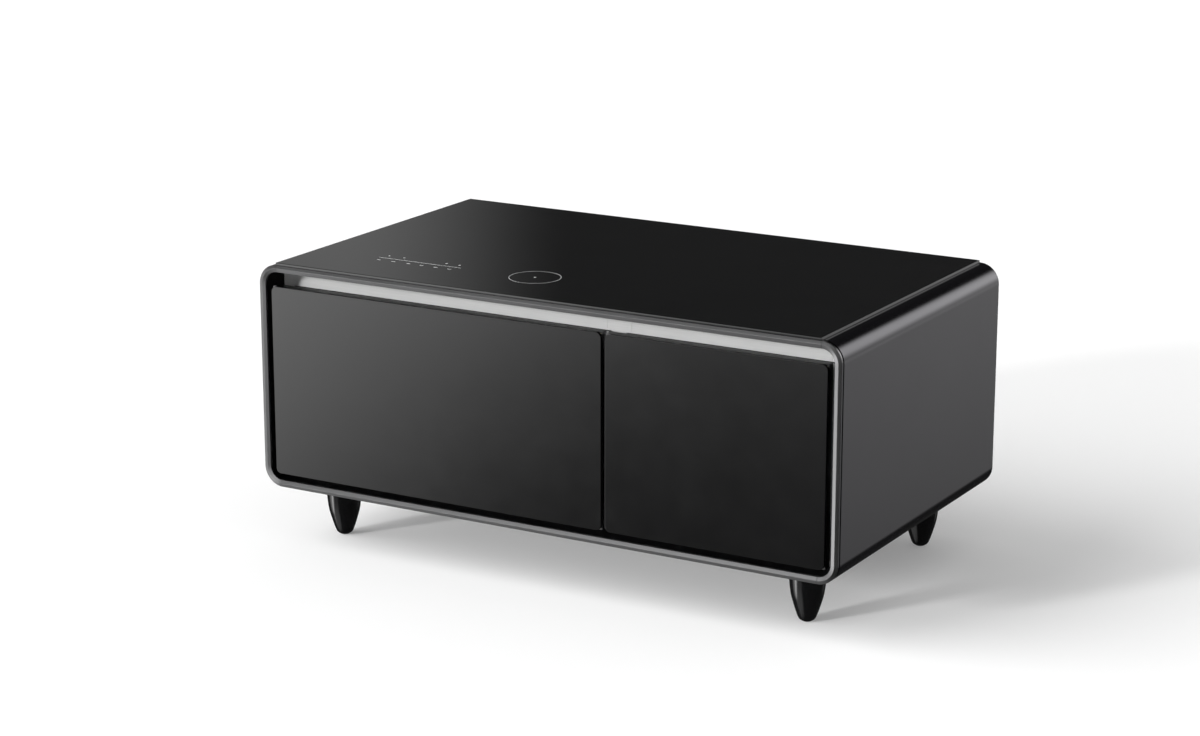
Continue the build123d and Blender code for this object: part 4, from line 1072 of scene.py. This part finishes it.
@dataclass
class GlassTop:
    """The glass top with its printed marks, and the strip that beds it."""

    nodes: Nodes
    arris: float = 0.8 * MM
    seamed_edge: float = 0.1 * MM
    corner: float = 0.4 * MM
    print_thickness: float = 0.05 * MM
    ring_radius: float = 40.0 * MM
    ring_line: float = 0.7 * MM
    dot_radius: float = 1.8 * MM
    long_line: tuple[float, float, float] = (151.0 * MM, 1.0 * MM, 0.3 * MM)
    short_bar: tuple[float, float, float] = (7.0 * MM, 1.9 * MM, 0.6 * MM)
    row_offset: float = 15.0 * MM
    bar_offsets: tuple[float, ...] = (-66.0, -39.0, -11.0, 13.0, 39.0, 64.0)
    dot_offsets: tuple[float, ...] = (-66.4, -38.5, 40.1, 63.7)
    top: float = 0.0

    def build(self) -> None:
        """Make the glass and its marks."""
        box = Box.of("top_glass")
        self.top = box.high.z - self.print_thickness
        arris, seam, shoulder = self.arris, self.seamed_edge, ARRIS_SHARE * self.arris
        levels = (
            (seam, box.low.z), (0.0, box.low.z + seam), (0.0, self.top - arris),
            (shoulder, self.top - shoulder), (arris, self.top),
        )
        loops = [
            rounded_loop(box.top().inset(inset), self.corner, z, Facing.TOP, steps=4)
            for inset, z in levels
        ]
        glass = soften(skin("top_glass_slab", loops), FINE_EDGE, limit=ARRIS_LIMIT)
        mount(glass, "cabinet", "black_glass", TOP_GLASS, "top_glass")
        mount(self.marks(), "cabinet", "black_glass", PRINT_GREY)
        dress_node(self.nodes, "glass_bed", GASKET_RUBBER)

    def marks(self) -> Piece:
        """Print the charging ring and the touch marks, all plain dots, bars and rings.

        Returns:
            The marks as one thin object.
        """
        ring_x, ring_y = Box.of("charger_coil").top().middle()
        panel_x, panel_y = Box.of("touch_board").top().middle()
        width, line, line_end = self.long_line
        sizes = {
            "Print": self.print_thickness,
            "Line": line,
            "Dot": self.dot_radius,
            "Ring": self.ring_radius,
            "Ring Inside": self.ring_radius - self.ring_line,
        }
        graph = GeometryGraph("printed_marks", sizes)
        curves = [
            graph.circle(graph.size(size), (ring_x, ring_y, 0))
            for size in ("Ring", "Ring Inside", "Dot")
        ]
        curves.append(graph.bar(width, graph.size("Line"), line_end, (panel_x, panel_y, 0)))
        for offset in self.bar_offsets:
            at = (panel_x + offset * MM, panel_y - self.row_offset, 0)
            curves.append(graph.bar(*self.short_bar, at))
        for offset in self.dot_offsets:
            at = (panel_x + offset * MM, panel_y + self.row_offset, 0)
            curves.append(graph.circle(graph.size("Dot"), at))
        prints = graph.plate(curves, graph.size("Print"))
        return graph.finish(graph.move(prints, (0, 0, self.top)), PRINT_GREY)


@dataclass
class Drawer:
    """One drawer: its glass front, trim, inner panel, gasket and bin, on nested slides."""

    side: Side
    nodes: Nodes
    core_corner: float = 8.0 * MM
    glass_corner: float = 9.0 * MM
    arris: float = 0.8 * MM
    trim_lap: float = 4.0 * MM
    trim_corner: float = 1.5 * MM
    seal_corner: float = 1.0 * MM
    seal_edge: float = 0.15 * MM
    bin_edge: float = 0.4 * MM
    bend_steps: int = 6
    seal_section: Outline = (
        (3.0, 0.0), (3.1, 1.6), (1.6, 2.2), (0.4, 2.7), (0.0, 3.4), (0.3, 4.1), (0.0, 4.6),
        (0.1, 5.5), (0.6, 6.0), (10.4, 6.0), (10.9, 5.5), (11.0, 4.6), (10.7, 4.1),
        (11.0, 3.4), (10.6, 2.7), (9.4, 2.2), (7.9, 1.6), (8.0, 0.0),
    )

    @property
    def body(self) -> str:
        """Name the body that the drawer moves with."""
        return f"{self.side.value}_drawer"

    def box(self, part: str) -> Box:
        """Give the box of one of the drawer's nodes."""
        return Box.of(f"{self.body}_{part}")

    def build(self) -> None:
        """Make every piece of the drawer and dress its slides."""
        self.glass()
        self.trim()
        self.inner_panel()
        self.gasket()
        self.bin()
        dress_node(self.nodes, f"{self.body}_foam", FOAM)
        for rails in ("outer_rails", "middle_rails", "inner_rails"):
            dress_node(self.nodes, f"{self.side.value}_{rails}", SLIDE_ZINC)

    def glass(self) -> None:
        """Grind the glass front, with a fine polished arris round its face."""
        box = self.box("glass")
        outline, arris, shoulder = box.front(), self.arris, ARRIS_SHARE * self.arris
        section = (
            (0.0, box.high.y), (0.0, box.low.y + arris), (shoulder, box.low.y + shoulder),
            (arris, box.low.y),
        )
        loops = [rounded_loop(outline.inset(i), self.glass_corner - i, y) for i, y in section]
        glass = skin(f"{self.body}_front_glass", loops)
        soften(glass, FINE_EDGE, limit=ARRIS_LIMIT)
        mount(glass, self.body, "black_glass", FRONT_GLASS, f"{self.body}_glass")

    def trim(self) -> None:
        """Fold the metal trim behind the glass, with its lap over the inner panel."""
        box = self.box("trim")
        outline = box.front()
        lap = self.box("inner_panel").front().inset(self.trim_lap)
        wall, flange = 2.5 * MM, 1.5 * MM
        section = (
            (outline, self.trim_corner, box.low.y), (outline, self.trim_corner, box.high.y),
            (lap, self.core_corner, box.high.y), (lap, self.core_corner, box.high.y - flange),
            (outline.inset(wall), SHARP, box.high.y - flange),
            (outline.inset(wall), SHARP, box.low.y),
        )
        loops = [rounded_loop(rect, radius, y) for rect, radius, y in section]
        trim = soften(skin(f"{self.body}_front_trim", loops, hoop=True), SHEET_EDGE)
        mount(trim, self.body, "trim_grey", TRIM_GREY, f"{self.body}_trim")

    def inner_panel(self) -> None:
        """Mould the white panel that closes the back of the drawer front."""
        box = self.box("inner_panel")
        outline, wall, ease, edge = box.front(), 1.5 * MM, 1.2 * MM, 0.2 * MM
        shoulder = EASE_SHARE * ease
        section = (
            (wall, box.high.y - wall), (wall, box.low.y), (0.0, box.low.y),
            (0.0, box.high.y - ease), (shoulder, box.high.y - shoulder), (ease, box.high.y),
        )
        loops = [
            rounded_loop(outline.inset(inset), self.core_corner - inset, y)
            for inset, y in section
        ]
        panel = soften(skin(f"{self.body}_panel_moulding", loops), edge)
        mount(panel, self.body, "liner_white", LINER_WHITE, f"{self.body}_inner_panel")

    def gasket(self) -> None:
        """Extrude the magnetic gasket: a neck in front, bellows, and the magnet tube behind."""
        box = self.box("gasket")
        loops = [
            rounded_loop(
                box.front().inset(inset * MM),
                max(self.core_corner - inset * MM, self.seal_corner),
                box.low.y + depth * MM,
            )
            for inset, depth in self.seal_section
        ]
        gasket = soften(skin(f"{self.body}_seal", loops, hoop=True), self.seal_edge)
        mount(gasket, self.body, "gasket_rubber", GASKET_RUBBER, f"{self.body}_gasket")

    def bin(self) -> None:
        """Mould the bin, with rounded corners, a rounded base and a rim on three sides."""
        box = self.box("bin")
        rim, rim_thickness, wall, corner, base = 4.0 * MM, 2.5 * MM, 2.2 * MM, 14.0 * MM, 6.0 * MM
        edge = box.top()
        body = Rect(edge.left + rim, edge.right - rim, edge.low, edge.high - rim)
        low, top = box.low.z, box.high.z
        steps = range(self.bend_steps + 1)
        bends = [math.radians(90.0 * step / self.bend_steps) for step in steps]
        inside = [
            (body.inset(wall + base * (1 - math.sin(bend))), corner - wall,
             low + wall + base * (1 - math.cos(bend)))
            for bend in bends
        ]
        outside = [
            (body.inset(base * (1 - math.sin(bend))), corner, low + base * (1 - math.cos(bend)))
            for bend in reversed(bends)
        ]
        section = inside + [
            (body.inset(wall), corner - wall, top), (edge, corner, top),
            (edge, corner, top - rim_thickness), (body, corner, top - rim_thickness),
        ] + outside
        loops = [rounded_loop(rect, radius, z, Facing.TOP) for rect, radius, z in section]
        moulding = skin(f"{self.body}_bin_moulding", loops)
        soften(moulding, self.bin_edge, limit=FACET_LIMIT)
        mount(moulding, self.body, "bin_grey", BIN_GREY, f"{self.body}_bin")


@dataclass
class Legs:
    """Four turned legs with pads let into their soles."""

    nodes: Nodes
    profile: Outline = (
        (8.0, 0.8), (13.6, 6.5), (21.5, 30.0), (25.9, 50.0), (29.5, 92.0),
    )
    sides: int = 72

    def build(self) -> None:
        """Turn the legs and dress their pads, plates and studs."""
        curve = self.smooth_profile()
        for place in ("front_left", "front_right", "rear_left", "rear_right"):
            middle = Box.of(f"leg_{place}").top().middle()
            loops = turned_loops(curve, self.sides, middle)
            leg = soften(skin(f"leg_{place}_turning", loops), SHEET_EDGE, limit=FACET_LIMIT)
            mount(leg, "cabinet", "leg_gloss", LEG_GLOSS, f"leg_{place}")
        dress_node(self.nodes, "leg_pads", PAD_RUBBER)
        dress_node(self.nodes, "leg_plates", ZINC_SHEET)
        dress_node(self.nodes, "leg_studs", SLIDE_ZINC)

    def smooth_profile(self, steps: int = 9) -> list[tuple[float, float]]:
        """Run a smooth curve through the profile's points.

        Args:
            steps: the number of stretches between two points.

        Returns:
            Radius and height in metres, from the sole up.
        """
        points = [Vector((r * MM, z * MM)) for r, z in self.profile]
        points = [2 * points[0] - points[1], *points, 2 * points[-1] - points[-2]]
        spans = zip(points, points[1:], points[2:], points[3:])
        curve = []
        for before, start, end, after in spans:
            for step in range(steps):
                t = step / steps
                curve.append(
                    0.5 * (
                        2 * start + (end - before) * t
                        + (2 * before - 5 * start + 4 * end - after) * t * t
                        + (3 * start - before - 3 * end + after) * t ** 3
                    )
                )
        return [(point.x, point.y) for point in [*curve, points[-2]]]


@dataclass
class RearCover:
    """The back panel with its vents and screws, and the power inlet."""

    nodes: Nodes
    vent_middles: tuple[float, ...] = (-210.0 * MM, 235.0 * MM)
    screw_columns: int = 6
    column_span: float = 856.0 * MM
    row_half: float = 170.75 * MM
    side_half: float = 491.5 * MM
    outline_corner: float = 30.0 * MM
    vent_span: tuple[float, float] = (104.0 * MM, 130.0 * MM)
    vent_grid: tuple[int, int] = (2, 11)
    slot_length: float = 84.0 * MM
    slot_width: float = 5.0 * MM
    slot_end: float = 2.49 * MM
    inlet_hole: tuple[float, float, float] = (27.6 * MM, 20.6 * MM, 0.3 * MM)
    blade_half: tuple[float, float] = (2.0 * MM, 0.45 * MM)
    blade_depth: tuple[float, float] = (-0.45, -1.5)
    screw_sides: int = 32
    screw_limit: float = 40.0

    def build(self) -> None:
        """Make the panel and its screws, and dress the inlet."""
        panel = soften(self.panel(), FINE_EDGE)
        mount(panel, "cabinet", "shell_coat", SHELL_COAT, "back_panel")
        mount(self.screws(), "cabinet", "slide_zinc", SLIDE_ZINC, "back_panel_screws")
        dress_node(self.nodes, "power_inlet", INLET_BLACK)

    def panel(self) -> Piece:
        """Punch the panel: two groups of slots, and the cut-out for the inlet.

        Returns:
            The panel, before its edges are rounded.
        """
        box = Box.of("back_panel")
        outline = box.front()
        middle_z = outline.middle()[1]
        inlet_x, inlet_z = Box.of("power_inlet").front().middle()
        width, height = outline.right - outline.left, outline.high - outline.low
        sizes = {
            "Thickness": box.high.y - box.low.y,
            "Slot Length": self.slot_length,
            "Slot Width": self.slot_width,
        }
        graph = GeometryGraph("back_panel_sheet", sizes)
        slot = graph.bar(graph.size("Slot Length"), graph.size("Slot Width"), self.slot_end)
        curves = [
            graph.bar(width, height, self.outline_corner),
            graph.bar(*self.inlet_hole, (inlet_x, inlet_z - middle_z, 0)),
        ]
        for middle_x in self.vent_middles:
            points = graph.grid(*self.vent_span, *self.vent_grid)
            curves.append(graph.repeat(slot, graph.move(points, (middle_x, 0, 0))))
        plate = graph.plate(curves, graph.size("Thickness"))
        upright = graph.move(plate, (0, box.high.y, middle_z), (QUARTER_TURN, 0, 0))
        return graph.finish(upright, SHELL_COAT)

    def screws(self) -> Piece:
        """Set pan-headed screws with a cross recess along the panel's edges.

        Returns:
            All the screws as one object.
        """
        box = Box.of("back_panel_screws")
        middle_z = box.front().middle()[1]
        seat = Box.of("back_panel").high.y
        head = self.screw_head(box.high.y - seat, seat - box.low.y)
        graph = GeometryGraph("back_panel_screw_set", {"Columns": self.column_span})
        source = graph.add("GeometryNodeObjectInfo", {"Object": head})
        rows = graph.grid(graph.size("Columns"), 2 * self.row_half, self.screw_columns, 2)
        sides = graph.add(
            "GeometryNodeMeshLine",
            {
                "Count": 2, "Start Location": (-self.side_half, 0, 0),
                "Offset": (2 * self.side_half, 0, 0),
            },
        )
        points = graph.gather([rows, sides.outputs["Mesh"]])
        placed = graph.repeat(source.outputs["Geometry"], points)
        upright = graph.move(placed, (0, seat, middle_z), (QUARTER_TURN, 0, 0))
        piece = graph.finish(upright, SLIDE_ZINC)
        bpy.data.objects.remove(head)
        return piece

    def screw_head(self, height: float, shank: float) -> Piece:
        """Turn one screw lying under the level XY plane, and cut its cross recess.

        Args:
            height: the head's height.
            shank: the shank's length behind its seat.

        Returns:
            The screw, head down towards -Z, which later faces the back.
        """
        profile = (
            (0.3, shank), (1.9, shank - 0.8 * MM), (1.9, 0.0), (4.0, 0.0), (4.0, -0.35 * height),
            (3.7, -0.7 * height), (2.9, -0.93 * height), (1.5, -height),
        )
        levels = [(radius * MM, level) for radius, level in profile]
        head = skin("screw", turned_loops(levels, self.screw_sides))
        for across, along in (self.blade_half, self.blade_half[::-1]):
            outline = Rect(-across, across, -along, along)
            blade = skin("recess_blade", [
                rounded_loop(outline, SHARP, share * height, Facing.TOP, steps=1)
                for share in self.blade_depth
            ])
            cut_away(head, blade)
        return soften(head, FINE_EDGE, limit=self.screw_limit)


@dataclass
class Interior:
    """What the cabinet hides: the machine bay behind the foam and the electronics on top."""

    nodes: Nodes

    def build(self) -> None:
        """Dress every construction node of the machine bay and the electronics."""
        finishes = {
            "machine_bay": ZINC_SHEET,
            "compressor": COMPRESSOR_BLACK,
            "compressor_grommets": PAD_RUBBER,
            "starter_box": INNER_PLASTIC,
            "drip_tray": INNER_PLASTIC,
            "condenser": FIN_ALUMINIUM,
            "fan_shroud": INNER_PLASTIC,
            "fan_motor": SLIDE_ZINC,
            "fan_rotor": INNER_PLASTIC,
            "filter_drier": COPPER,
            "refrigerant_pipes": COPPER,
            "control_box": INNER_PLASTIC,
            "electronics_tray": INNER_PLASTIC,
            "touch_board": BOARD_GREEN,
            "charger_coil": COPPER,
        }
        for name, finish in finishes.items():
            dress_node(self.nodes, name, finish)
        LOG.info("interior: %d construction nodes dressed", len(finishes))


@dataclass(frozen=True)
class SoftPanel:
    """A soft-edged bright area round the studio that only reflections show, in degrees."""

    azimuth: float
    elevation: float
    half_width: float
    half_height: float
    soft_width: float
    soft_height: float
    strength: float
    tilt: float = 0.0
    pivot: float = 0.0


@dataclass
class Studio:
    """A white floor, the lights, what the reflections show, and the camera."""

    floor_reach: float = 30.0
    canopy_radius: float = 60.0
    canopy_segments: tuple[int, int] = (64, 32)
    canopy_base: float = 0.03
    floor_white: float = 0.8
    floor_lift: float = 0.2
    world_fill: float = 0.46
    suns: tuple[tuple[str, tuple[float, float, float], float, float], ...] = (
        ("studio_key", (-0.74, -0.55, 0.62), 2.6, 56.0),
        ("studio_front", (-0.485, -0.84, 0.242), 2.3, 8.0),
    )
    lens: float = 89.16
    sensor: float = 36.0
    camera_place: tuple[float, float, float] = (2.2069, -3.9117, 1.4868)
    camera_pitch: float = 75.0
    camera_yaw: float = 30.0
    panels: tuple[SoftPanel, ...] = (
        SoftPanel(-138.0, -5.0, 22.0, 6.0, 12.0, 6.4, 3.4, 0.8, -150.0),
        SoftPanel(-168.0, -6.0, 16.0, 8.0, 8.0, 6.0, 1.3),
        SoftPanel(-115.0, -12.0, 14.0, 20.0, 10.0, 10.0, 1.0),
        SoftPanel(-142.0, -40.0, 25.0, 14.0, 8.0, 8.0, 0.42),
        SoftPanel(-150.0, 14.0, 25.0, 8.0, 8.0, 5.0, 0.3),
        SoftPanel(-48.0, 15.0, 14.8, 14.0, 2.6, 8.0, 0.31),
        SoftPanel(25.0, 15.0, 8.0, 13.0, 6.0, 8.0, 2.7),
        SoftPanel(22.5, -7.0, 11.0, 9.0, 4.0, 11.0, 1.0, 0.63, 24.0),
        SoftPanel(84.0, -8.0, 14.0, 6.0, 20.0, 14.0, 0.5),
    )

    def build(self) -> None:
        """Set the stage, the lights, the world and the camera."""
        self.floor()
        self.canopy()
        self.lights()
        self.world()
        self.camera()
        bpy.context.scene.view_settings.view_transform = "Standard"

    def floor(self) -> None:
        """Lay a white floor that keeps the table's shadow."""
        reach = self.floor_reach
        outline = Rect(-reach, reach, -reach, reach)
        mesh = bpy.data.meshes.new("studio_floor")
        corners = rounded_loop(outline, SHARP, 0.0, Facing.TOP, steps=1)
        mesh.from_pydata(corners, [], [list(range(len(corners)))])
        floor = link_mesh("studio_floor", mesh)
        made = self.bare_material("studio_floor")
        tree = made.node_tree
        white = (self.floor_white, self.floor_white, self.floor_white, 1.0)
        diffuse = add_node(tree, "ShaderNodeBsdfDiffuse", {"Color": white})
        path = add_node(tree, "ShaderNodeLightPath", {})
        lift = add_math(tree, "MULTIPLY", path.outputs["Is Camera Ray"], self.floor_lift)
        glow = add_node(tree, "ShaderNodeEmission", {"Strength": lift})
        shaders = {0: diffuse.outputs["BSDF"], 1: glow.outputs["Emission"]}
        both = add_node(tree, "ShaderNodeAddShader", shaders)
        add_node(tree, "ShaderNodeOutputMaterial", {"Surface": both.outputs["Shader"]})
        mesh.materials.append(made)
        floor.visible_glossy = False

    def bare_material(self, name: str) -> Material:
        """Start a material whose node tree is empty.

        Args:
            name: the material's name.

        Returns:
            The material.
        """
        made = bpy.data.materials.new(name)
        made.use_nodes = True
        made.node_tree.nodes.clear()
        return made

    def canopy(self) -> None:
        """Hang a sphere of soft panels round the table, which only reflections show."""
        grid = bmesh.new()
        around, upward = self.canopy_segments
        bmesh.ops.create_uvsphere(
            grid, u_segments=around, v_segments=upward, radius=self.canopy_radius
        )
        mesh = bpy.data.meshes.new("studio_canopy")
        grid.to_mesh(mesh)
        grid.free()
        for face in mesh.polygons:
            face.use_smooth = True
        canopy = link_mesh("studio_canopy", mesh)
        mesh.materials.append(self.canopy_material())
        canopy.visible_camera = False
        canopy.visible_diffuse = False
        canopy.visible_shadow = False
        canopy.visible_volume_scatter = False

    def canopy_material(self) -> Material:
        """Glow by direction: a dark base and the soft panels.

        Returns:
            The material of the sphere that reflections show.
        """
        made = self.bare_material("studio_canopy")
        tree = made.node_tree
        coords = add_node(tree, "ShaderNodeTexCoord", {})
        split = add_node(tree, "ShaderNodeSeparateXYZ", {"Vector": coords.outputs["Object"]})
        azimuth = add_math(tree, "ARCTAN2", split.outputs["X"], split.outputs["Y"])
        height = add_math(tree, "DIVIDE", split.outputs["Z"], self.canopy_radius)
        elevation = add_math(tree, "ARCSINE", height)
        total: Any = self.canopy_base
        for panel in self.panels:
            wide = self.fade(tree, azimuth, panel.azimuth, panel.half_width, panel.soft_width)
            turned = add_math(tree, "SUBTRACT", azimuth, math.radians(panel.pivot))
            raised = add_math(tree, "MULTIPLY_ADD", turned, panel.tilt, elevation)
            tall = self.fade(tree, raised, panel.elevation, panel.half_height, panel.soft_height)
            shape = add_math(tree, "MULTIPLY", wide, tall)
            total = add_math(tree, "MULTIPLY_ADD", shape, panel.strength, total)
        glow = add_node(tree, "ShaderNodeEmission", {"Strength": total})
        add_node(tree, "ShaderNodeOutputMaterial", {"Surface": glow.outputs["Emission"]})
        return made

    def fade(
        self,
        tree: Tree,
        angle: Socket,
        middle: float,
        half: float,
        soft: float,
    ) -> Socket:
        """Fade smoothly from 1 at a middle angle to 0 past a half width.

        Args:
            tree: the material's node tree.
            angle: the angle in radians.
            middle: the middle of the bright stretch in degrees.
            half: half of its width in degrees.
            soft: how far its edge is blurred to either side, in degrees.

        Returns:
            The socket that holds the brightness, from 0 to 1.
        """
        away = add_math(tree, "SUBTRACT", angle, math.radians(middle))
        edge = add_node(
            tree,
            "ShaderNodeMapRange",
            {
                "Value": add_math(tree, "ABSOLUTE", away),
                "From Min": math.radians(half - soft),
                "From Max": math.radians(half + soft),
                "To Min": 1.0,
                "To Max": 0.0,
            },
            interpolation_type="SMOOTHSTEP",
        )
        return edge.outputs["Result"]

    def lights(self) -> None:
        """Shine a broad light from the left, and a low one into the recess from the front."""
        for name, direction, strength, width in self.suns:
            lamp = bpy.data.lights.new(name, "SUN")
            lamp.energy = strength
            lamp.angle = math.radians(width)
            light = bpy.data.objects.new(name, lamp)
            light.rotation_euler = Vector(direction).to_track_quat("Z", "Y").to_euler()
            light.visible_glossy = False
            bpy.context.scene.collection.objects.link(light)

    def world(self) -> None:
        """Fill softly from all round, and show white behind the floor."""
        world = bpy.data.worlds.new("studio_world")
        bpy.context.scene.world = world
        world.use_nodes = True
        tree = world.node_tree
        back = tree.nodes["Background"]
        path = add_node(tree, "ShaderNodeLightPath", {})
        levels = {"Value": path.outputs["Is Camera Ray"], "To Min": self.world_fill, "To Max": 1.0}
        seen = add_node(tree, "ShaderNodeMapRange", levels)
        tree.links.new(seen.outputs["Result"], back.inputs["Strength"])
        back.inputs["Color"].default_value = (1.0, 1.0, 1.0, 1.0)

    def camera(self) -> None:
        """Stand the camera to the right of the table, looking down on it a little."""
        lens = bpy.data.cameras.new("studio_camera")
        lens.lens = self.lens
        lens.sensor_width = self.sensor
        lens.sensor_fit = "HORIZONTAL"
        lens.clip_end = 100.0
        camera = bpy.data.objects.new("studio_camera", lens)
        camera.location = self.camera_place
        camera.rotation_euler = (
            math.radians(self.camera_pitch), 0.0, math.radians(self.camera_yaw)
        )
        bpy.context.scene.collection.objects.link(camera)
        bpy.context.scene.camera = camera


def main() -> None:
    """Load the frame, build every piece and the studio, and log each one as it is done."""
    logging.basicConfig(level=logging.INFO, format="%(message)s")
    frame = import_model()
    nodes = frame["nodes"]
    assemblies = (
        Cabinet(Plan.read(), nodes),
        GlassTop(nodes),
        Drawer(Side.LEFT, nodes),
        Drawer(Side.RIGHT, nodes),
        Legs(nodes),
        RearCover(nodes),
        Interior(nodes),
        Studio(),
    )
    for assembly in assemblies:
        assembly.build()
        LOG.info("%s done", type(assembly).__name__)


if __name__ == "__main__":
    main()
